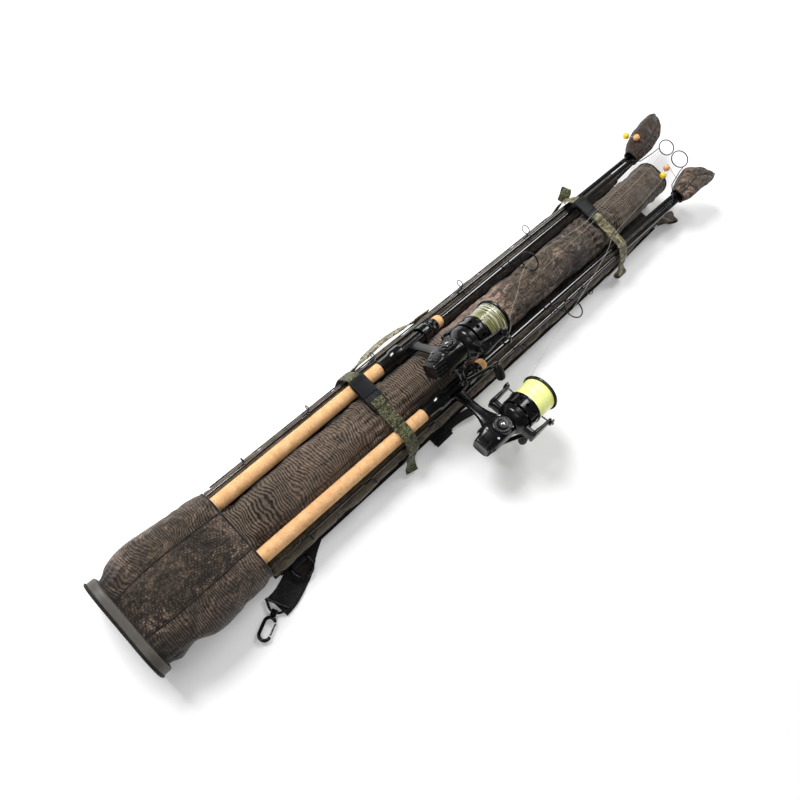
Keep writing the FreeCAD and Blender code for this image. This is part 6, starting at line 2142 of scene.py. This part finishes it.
    # wound line with slightly uneven lay
    verts, tv, faces = [], [], []
    NL, NX = 96, 44
    xsn = [62.3 + (102.6 - 62.3) * i / (NX - 1.0) for i in range(NX)]
    sd = 3.3 if sg > 0 else 8.1
    for x_ in xsn:
        t_ = (x_ - 62.3) / 40.3
        r_ = 31 + 2 * t_ - 0.9 * max(0, (0.06 - t_) / 0.06) ** 2 - 1.2 * max(0, (t_ - 0.95) / 0.05) ** 2
        for k in range(NL):
            a_ = 2 * math.pi * k / NL
            w_ = noise.noise(Vector((x_ * 0.25 + sd, math.cos(a_) * 1.5, math.sin(a_) * 1.5))) * 0.22
            rr = (min(r_ + w_, r_ + 0.1)) / 1000.0
            verts.append(AX @ Vector((x_ / 1000.0, rr * math.cos(a_), rr * math.sin(a_))))
            tv.append((x_ / 1000.0, 0.032 * abs(((a_ / math.pi) % 2.0) - 1.0) * math.pi, 0))
    faces = grid_faces(NX, NL, False, True)
    for base in (0, (NX - 1) * NL):
        c0_ = len(verts)
        x_ = xsn[0] if base == 0 else xsn[-1]
        for k in range(NL):
            a_ = 2 * math.pi * k / NL
            verts.append(AX @ Vector((x_ / 1000.0, 0.0222 * math.cos(a_), 0.0222 * math.sin(a_))))
            tv.append((x_ / 1000.0, 0, 0))
        for k in range(NL):
            faces.append((base + k, base + (k + 1) % NL, c0_ + (k + 1) % NL, c0_ + k))
    o = make(p + "_wound_line", verts, faces, M_LINE_L if sg > 0 else M_LINE_R, True, {"turn": ("VEC", tv)})
    fix_normals(o)
    auto_smooth(o, 40)
    done(o, side + "_spool", "mono_line" if sg > 0 else "bright_line", p + "_line")

    # drag knob: fluted rim, raised grip
    prof = [(108.3, 3.7), (108.3, 16.4), (109.0, 17.2), (112, 18.0), (116, 17.6), (118.6, 17.0), (119.4, 16.0), (119.2, 11.5), (118.8, 11.0), (119.6, 10.4), (121.4, 9.6), (122, 8.4), (122, 0)]
    o1 = lathe("d", prof, M_SHELL, AX, 144, flute=knurl(108.8, 118.8, 24, 0.06))
    rings = []
    for a_, hw, hl in ((118.6, 2.6, 15.2), (120.6, 2.4, 14.8), (121.6, 1.8, 13.8), (121.95, 0.9, 12.8)):
        r_ = []
        for k in range(24):
            t = 2 * math.pi * k / 24
            c_, s_ = math.cos(t), math.sin(t)
            r_.append((a_, hl * abs(c_) ** 0.7 * (1 if c_ >= 0 else -1), hw * abs(s_) ** 0.7 * (1 if s_ >= 0 else -1)))
        rings.append(r_)
    o2 = loft_local("d", rings, AX, M_SHELL)
    o3 = lathe("d", [(118.9, 15.4), (119.45, 15.9), (119.45, 16.3), (118.9, 16.8)], M_SILVER, AX, 64, closed=True)
    o = join(p + "_drag_dial", [o1, o2, o3])
    done(o, side + "_drag", "reel_dark", p + "_drag_knob")

    # bail: pivot plates, bowed wire and line roller
    parts = []
    bxp = 72.0
    t0 = math.radians(60)
    fx, fz = math.cos(t0), math.sin(t0)
    for s in (-1, 1):
        Mp = AX @ Matrix.Translation((bxp / 1000.0, s * 0.0503, 0)) @ Matrix.Rotation(math.radians(90 if s > 0 else -90), 4, "Z")
        parts.append(lathe("b", [(0, 0), (0, 6.6), (0.5, 7.0), (2.6, 7.0), (3.3, 6.3), (3.6, 5.0), (3.6, 2.6), (3.1, 2.3), (3.1, 0)], M_RDARK, Mp, 40))
    pts = []
    for k in range(0, 49):
        t = math.pi * k / 48.0
        pts.append(AX @ Vector(((bxp + 56.0 * math.sin(t) * fx) / 1000.0, (52.4 * math.cos(t)) / 1000.0, (56.0 * math.sin(t) * fz) / 1000.0)))
    parts.append(tube("b", pts, 0.0014, M_BLACKMET, 14))
    # roller near one end of the wire
    k = 5
    pa, pb = pts[2], pts[7]
    d = (pb - pa).normalized()
    Mr = Matrix.Translation(pa) @ Vector((1, 0, 0)).rotation_difference(d).to_matrix().to_4x4()
    ln = (pb - pa).length * 1000
    parts.append(lathe("b", [(0, 0), (0, 2.6), (1.0, 3.4), (ln * 0.28, 3.6), (ln * 0.34, 3.1), (ln * 0.5, 2.5), (ln * 0.66, 3.1), (ln * 0.72, 3.6), (ln - 1.0, 3.2), (ln, 2.2), (ln, 0)], M_BLACKMET, Mr, 32))
    o = join(p + "_bail_arm", parts)
    done(o, side + "_bail", "wire", p + "_bail")

    # crank: hub collar, tapered arm, eye and pin
    CK = RM @ Matrix.Translation((-0.004, 0.112, 0))
    ca_ = math.radians(22)
    cx_, cy_ = 65 * math.cos(ca_), 65 * math.sin(ca_)
    parts = []
    Mz = CK @ Matrix.Rotation(math.radians(-90), 4, "Y")
    parts.append(lathe("k", [(31.9, 0), (31.9, 7.6), (32.6, 8.0), (36, 8.0), (36.8, 7.0), (40, 6.2), (50, 5.8), (53.4, 6.4), (55, 7.8), (60.6, 8.0), (61.3, 7.4), (61.5, 5.0), (61.0, 4.6), (61.0, 0)], M_RDARK, Mz, 44))
    rings = []
    for d_, hw, th in ((-5, 3.4, 2.0), (-2, 5.0, 2.5), (6, 5.4, 2.5), (18, 4.3, 2.3), (34, 3.9, 2.1), (50, 4.2, 2.2), (59, 5.4, 2.4), (65, 6.3, 2.5), (69, 5.2, 2.4), (71.2, 2.6, 2.0)):
        r_ = []
        for k in range(24):
            t = 2 * math.pi * k / 24
            c_, s_ = math.cos(t), math.sin(t)
            w_ = hw * abs(c_) ** 0.7 * (1 if c_ >= 0 else -1)
            z_ = 58.5 + th * abs(s_) ** 0.7 * (1 if s_ >= 0 else -1)
            r_.append((d_ * math.cos(ca_) - w_ * math.sin(ca_), d_ * math.sin(ca_) + w_ * math.cos(ca_), z_))
        rings.append(r_)
    parts.append(loft_local("k", rings, CK, M_RDARK))
    Mk = CK @ Matrix.Translation((cx_ / 1000, cy_ / 1000, 0)) @ Matrix.Rotation(math.radians(-90), 4, "Y")
    parts.append(lathe("k", [(56.5, 0), (56.5, 6.0), (57, 6.4), (60.4, 6.4), (61.0, 5.8), (61.0, 2.4), (88.4, 2.4), (88.4, 0)], M_STEEL, Mk, 32))
    o = join(p + "_handle_arm", parts)
    done(o, side + "_crank", "reel_dark", p + "_crank")
    prof = [(61.5, 2.6), (61.5, 5.6), (62.0, 6.1), (64, 6.4), (65.8, 7.3), (70, 7.9), (76.5, 8.4), (82, 8.4), (86.5, 8.1), (89.6, 6.6), (91.2, 4.4), (92.0, 2.2), (92.0, 0)]
    o = lathe(p + "_handle_knob", prof, M_KNOB, Mk, 96, flute=knurl(66.5, 86.0, 12, 0.035))
    done(o, side + "_knob", "knob_grip", p + "_crank_knob")


# ===========================================================================
# Lines running up the case, hair rigs and baits at the hoods
# ===========================================================================
AXL = REEL_M["left"] @ Matrix.Translation((0, 0.112, 0))
lip = AXL @ Vector((0.1045, 0.006, 0.0368))
hl = math.radians(132)
gl = ROD_M["left"] @ Vector((0.919, 0.045 * math.cos(hl), 0.045 * math.sin(hl)))
o = tube("left_reel_strand_up", catmull([lip, lip.lerp(gl, 0.5) + Vector((0, 0, -0.003)), gl, F(1100, 18, 93.0), F(1150, 20, 95.6), F(1230, 26, 91), F(1330, 32, 88), F(1458, 36, 86)], 10),
         0.00032, M_STRAND, 6)
done(o, "case", "mono_line")
o = tube("left_reel_strand_back", catmull([F(1458, 31, 85), F(1395, 22, 83.5), F(1300, 14, 88.5), F(1200, 10, 91), F(1150, 9, 95.4), F(1095, 6, 92), F(980, 2, 89.8), F(905, -4, 92)], 10),
         0.00032, M_STRAND, 6)
done(o, "case", "mono_line")
AXR = REEL_M["right"] @ Matrix.Translation((0, 0.112, 0))
lip = AXR @ Vector((0.1045, -0.030, 0.0215))
hr = math.radians(148)
gr = ROD_M["right"] @ Vector((0.919, 0.045 * math.cos(hr), 0.045 * math.sin(hr)))
o = tube("right_reel_strand_up", catmull([lip, lip.lerp(gr, 0.55) + Vector((0, 0.003, -0.002)), gr, F(1090, -60, 92), F(1150, -40, 92.2), F(1260, -30, 90), F(1380, -18, 92), F(1450, -10, 93)], 10),
         0.00032, M_STRAND, 6)
done(o, "case", "mono_line")


def ball(c, r, mat, seed):
    """Rolled bait: slightly flattened, pitted ball."""
    bm = bmesh.new()
    bmesh.ops.create_icosphere(bm, subdivisions=5, radius=r)
    for v in bm.verts:
        d = v.co.normalized()
        n_ = noise.fractal(d * 3.1 + Vector((seed, 0, 0)), 1.0, 2.0, 4)
        v.co = d * r * (1.0 + 0.035 * n_) * (1 - 0.05 * abs(d.z) ** 3)
    me = bpy.data.meshes.new("ball")
    bm.to_mesh(me)
    bm.free()
    me.polygons.foreach_set("use_smooth", [True] * len(me.polygons))
    ob = bpy.data.objects.new("ball", me)
    scene.collection.objects.link(ob)
    me.materials.append(mat)
    ob.location = c
    bpy.context.view_layer.update()
    me.transform(ob.matrix_world)
    ob.matrix_world = Matrix.Identity(4)
    return ob


def cam_floor(px, py, z):
    """Point at height z (mm above the floor) that the view camera sees at (px, py)."""
    R0 = Vector((0.689923679587895, -0.687979983674234, 0.2251418628498492))
    R1_ = Vector((-0.5914748757814976, -0.715076266774271, -0.37259012871442776))
    R2_ = Vector((0.41732815345140784, 0.12389299721845588, -0.9002709245427544))
    d = R0 * ((px - 400) / 667.894) + R1_ * ((py - 400) / 667.894) + R2_
    C = Vector((69.689, -150.884, 1102.318))
    return C + d * ((z - C.z) / d.z)


def settle(px, py, r, names, z0, z1):
    """Height at which a ball seen at (px, py) comes to rest against the named pieces."""
    trees = [BVHTree.FromPolygons([v.co for v in bpy.data.objects[n_].data.vertices], [tuple(q.vertices) for q in bpy.data.objects[n_].data.polygons]) for n_ in names]
    best = (1e9, z0)
    z = z0
    while z > z1:
        q = cam_floor(px, py, z)
        d = min(t.find_nearest(F(q.x, q.y, q.z))[3] for t in trees)
        if d <= r * 0.97:
            return z
        if d < best[0]:
            best = (d, z)
        z -= 0.25
    return best[1]


for side, body, specs in (("left", "left_cup", (("yellow", 626, 136, 90.5, M_BAIT_Y), ("orange", 636.5, 137.5, 98, M_BAIT_O))),
                          ("right", "case", (("yellow", 663, 175.5, 86, M_BAIT_Y), ("orange", 666.5, 168, 86, M_BAIT_O)))):
    pts = []
    for i, (nm, px, py, z, mt) in enumerate(specs):
        if side == "left":
            z = settle(px, py, 0.0073, ["left_tip_hood"], 112.0, 66.0)
        elif i == 0:
            z = settle(px, py, 0.0073, ["centre_sleeve_cloth"], 104.0, 70.0)
            z_right = z
        else:
            z = z_right + 0.5
        q = cam_floor(px, py, z)
        c = F(q.x, q.y, q.z)
        pts.append(c)
        ob = ball(c, 0.0074 if nm == "yellow" else 0.0072, mt, 3.0 + i + px * 0.1)
        ob.name = side + "_bait_" + nm
        done(ob, body, "bright_line")
    d = (pts[1] - pts[0]).normalized()
    tip = T_END = (ROD_M[side] @ Vector((1.424, 0, 0)))
    rig = catmull([pts[0] - d * 0.012, pts[0], pts[1], pts[1] + d * 0.012, pts[1].lerp(tip, 0.5) + Vector((0, 0, -0.004)), tip], 8)
    o = tube(side + "_hair_rig", rig, 0.0006, M_STRAND, 8)
    if body == "case":
        done(o, body, "mono_line")
    else:
        # the pair lies on the hood and moves with it; its line stays on the rod tip
        tuple(pts[1])
        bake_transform(o)


# ===========================================================================
# Floor, light, camera
# ===========================================================================
def stage_set():
    me = bpy.data.meshes.new("studio_floor")
    me.from_pydata([(-9, -9, FLOOR - 0.0002), (11, -9, FLOOR - 0.0002), (11, 9, FLOOR - 0.0002), (-9, 9, FLOOR - 0.0002)], [], [(0, 1, 2, 3)])
    o = bpy.data.objects.new("studio_floor", me)
    scene.collection.objects.link(o)
    k = Mat("studio_white")
    n = k.noise(k.obj(), 2.0, 2)
    # the sheet stays white to the eye far from the lamps
    ln = k.new("ShaderNodeVectorMath")
    ln.operation = "DISTANCE"
    k.link(k.obj(), ln.inputs[0])
    ln.inputs[1].default_value = (0.75, 0.0, FLOOR)
    far = k.ramp(k.math("MULTIPLY", ln.outputs["Value"], 0.25, clamp=True), [(0.22, 0.0), (0.70, 1.0)])
    seen = k.new("ShaderNodeLightPath").outputs["Is Camera Ray"]
    glow = k.math("ADD", 0.14, k.math("MULTIPLY", k.math("MULTIPLY", far, seen), 0.8))
    k.set(color=k.mix(n, (0.90, 0.90, 0.90), (0.92, 0.92, 0.92)), rough=0.95, spec=0.0, emit=glow, emit_color=(1, 1, 1))
    me.materials.append(k.m)
    w = bpy.data.worlds.new("studio") if scene.world is None else scene.world
    scene.world = w
    w.use_nodes = True
    bg = w.node_tree.nodes.get("Background") or w.node_tree.nodes.new("ShaderNodeBackground")
    bg.inputs[0].default_value = (1, 1, 1, 1)
    # mirror-like surfaces see a darker room than the white cloth and floor do
    nt = w.node_tree
    lp = nt.nodes.new("ShaderNodeLightPath")
    ma = nt.nodes.new("ShaderNodeMath")
    ma.operation = "MULTIPLY_ADD"
    nt.links.new(lp.outputs["Is Glossy Ray"], ma.inputs[0])
    ma.inputs[1].default_value = -0.20
    ma.inputs[2].default_value = 0.27
    mc = nt.nodes.new("ShaderNodeMath")
    mc.operation = "MULTIPLY_ADD"
    nt.links.new(lp.outputs["Is Camera Ray"], mc.inputs[0])
    mc.inputs[1].default_value = 0.78
    nt.links.new(ma.outputs[0], mc.inputs[2])
    nt.links.new(mc.outputs[0], bg.inputs[1])
    scene.view_settings.view_transform = "Standard"
    scene.view_settings.look = "None"

    def area(name, loc, target, size, power, col=(1, 1, 1)):
        L = bpy.data.lights.new(name, "AREA")
        L.shape = "RECTANGLE"
        L.size, L.size_y = size
        L.energy = power
        L.color = col
        ob = bpy.data.objects.new(name, L)
        scene.collection.objects.link(ob)
        ob.location = loc
        d = Vector(target) - Vector(loc)
        ob.rotation_euler = d.to_track_quat("-Z", "Y").to_euler()
        return ob
    area("key_soft", (0.30, 1.9, 2.1), (0.65, 0, 0), (1.0, 1.0), 84)
    area("far_soft", (2.7, 0.55, 2.3), (1.05, 0, 0), (1.2, 0.9), 34)
    area("near_strip", (-0.9, -0.2, 2.4), (0.4, 0, 0), (1.2, 0.5), 9)


stage_set()

cam = bpy.data.cameras.new("view_camera")
cam.lens = 30.055
cam.sensor_width = 36.0
cam.sensor_fit = "HORIZONTAL"
cam.clip_start = 0.01
cam.clip_end = 50
co = bpy.data.objects.new("view_camera", cam)
scene.collection.objects.link(co)
RX = Vector((0.689923679587895, -0.687979983674234, 0.2251418628498492)).normalized()
RZ = Vector((0.41732815345140784, 0.12389299721845588, -0.9002709245427544)).normalized()
RY = RZ.cross(RX).normalized()
RX = RY.cross(RZ).normalized()
co.matrix_world = frame_of(RX, -RY, -RZ, F(69.689, -150.884, 1102.318))
scene.camera = co
scene.frame_set(1)
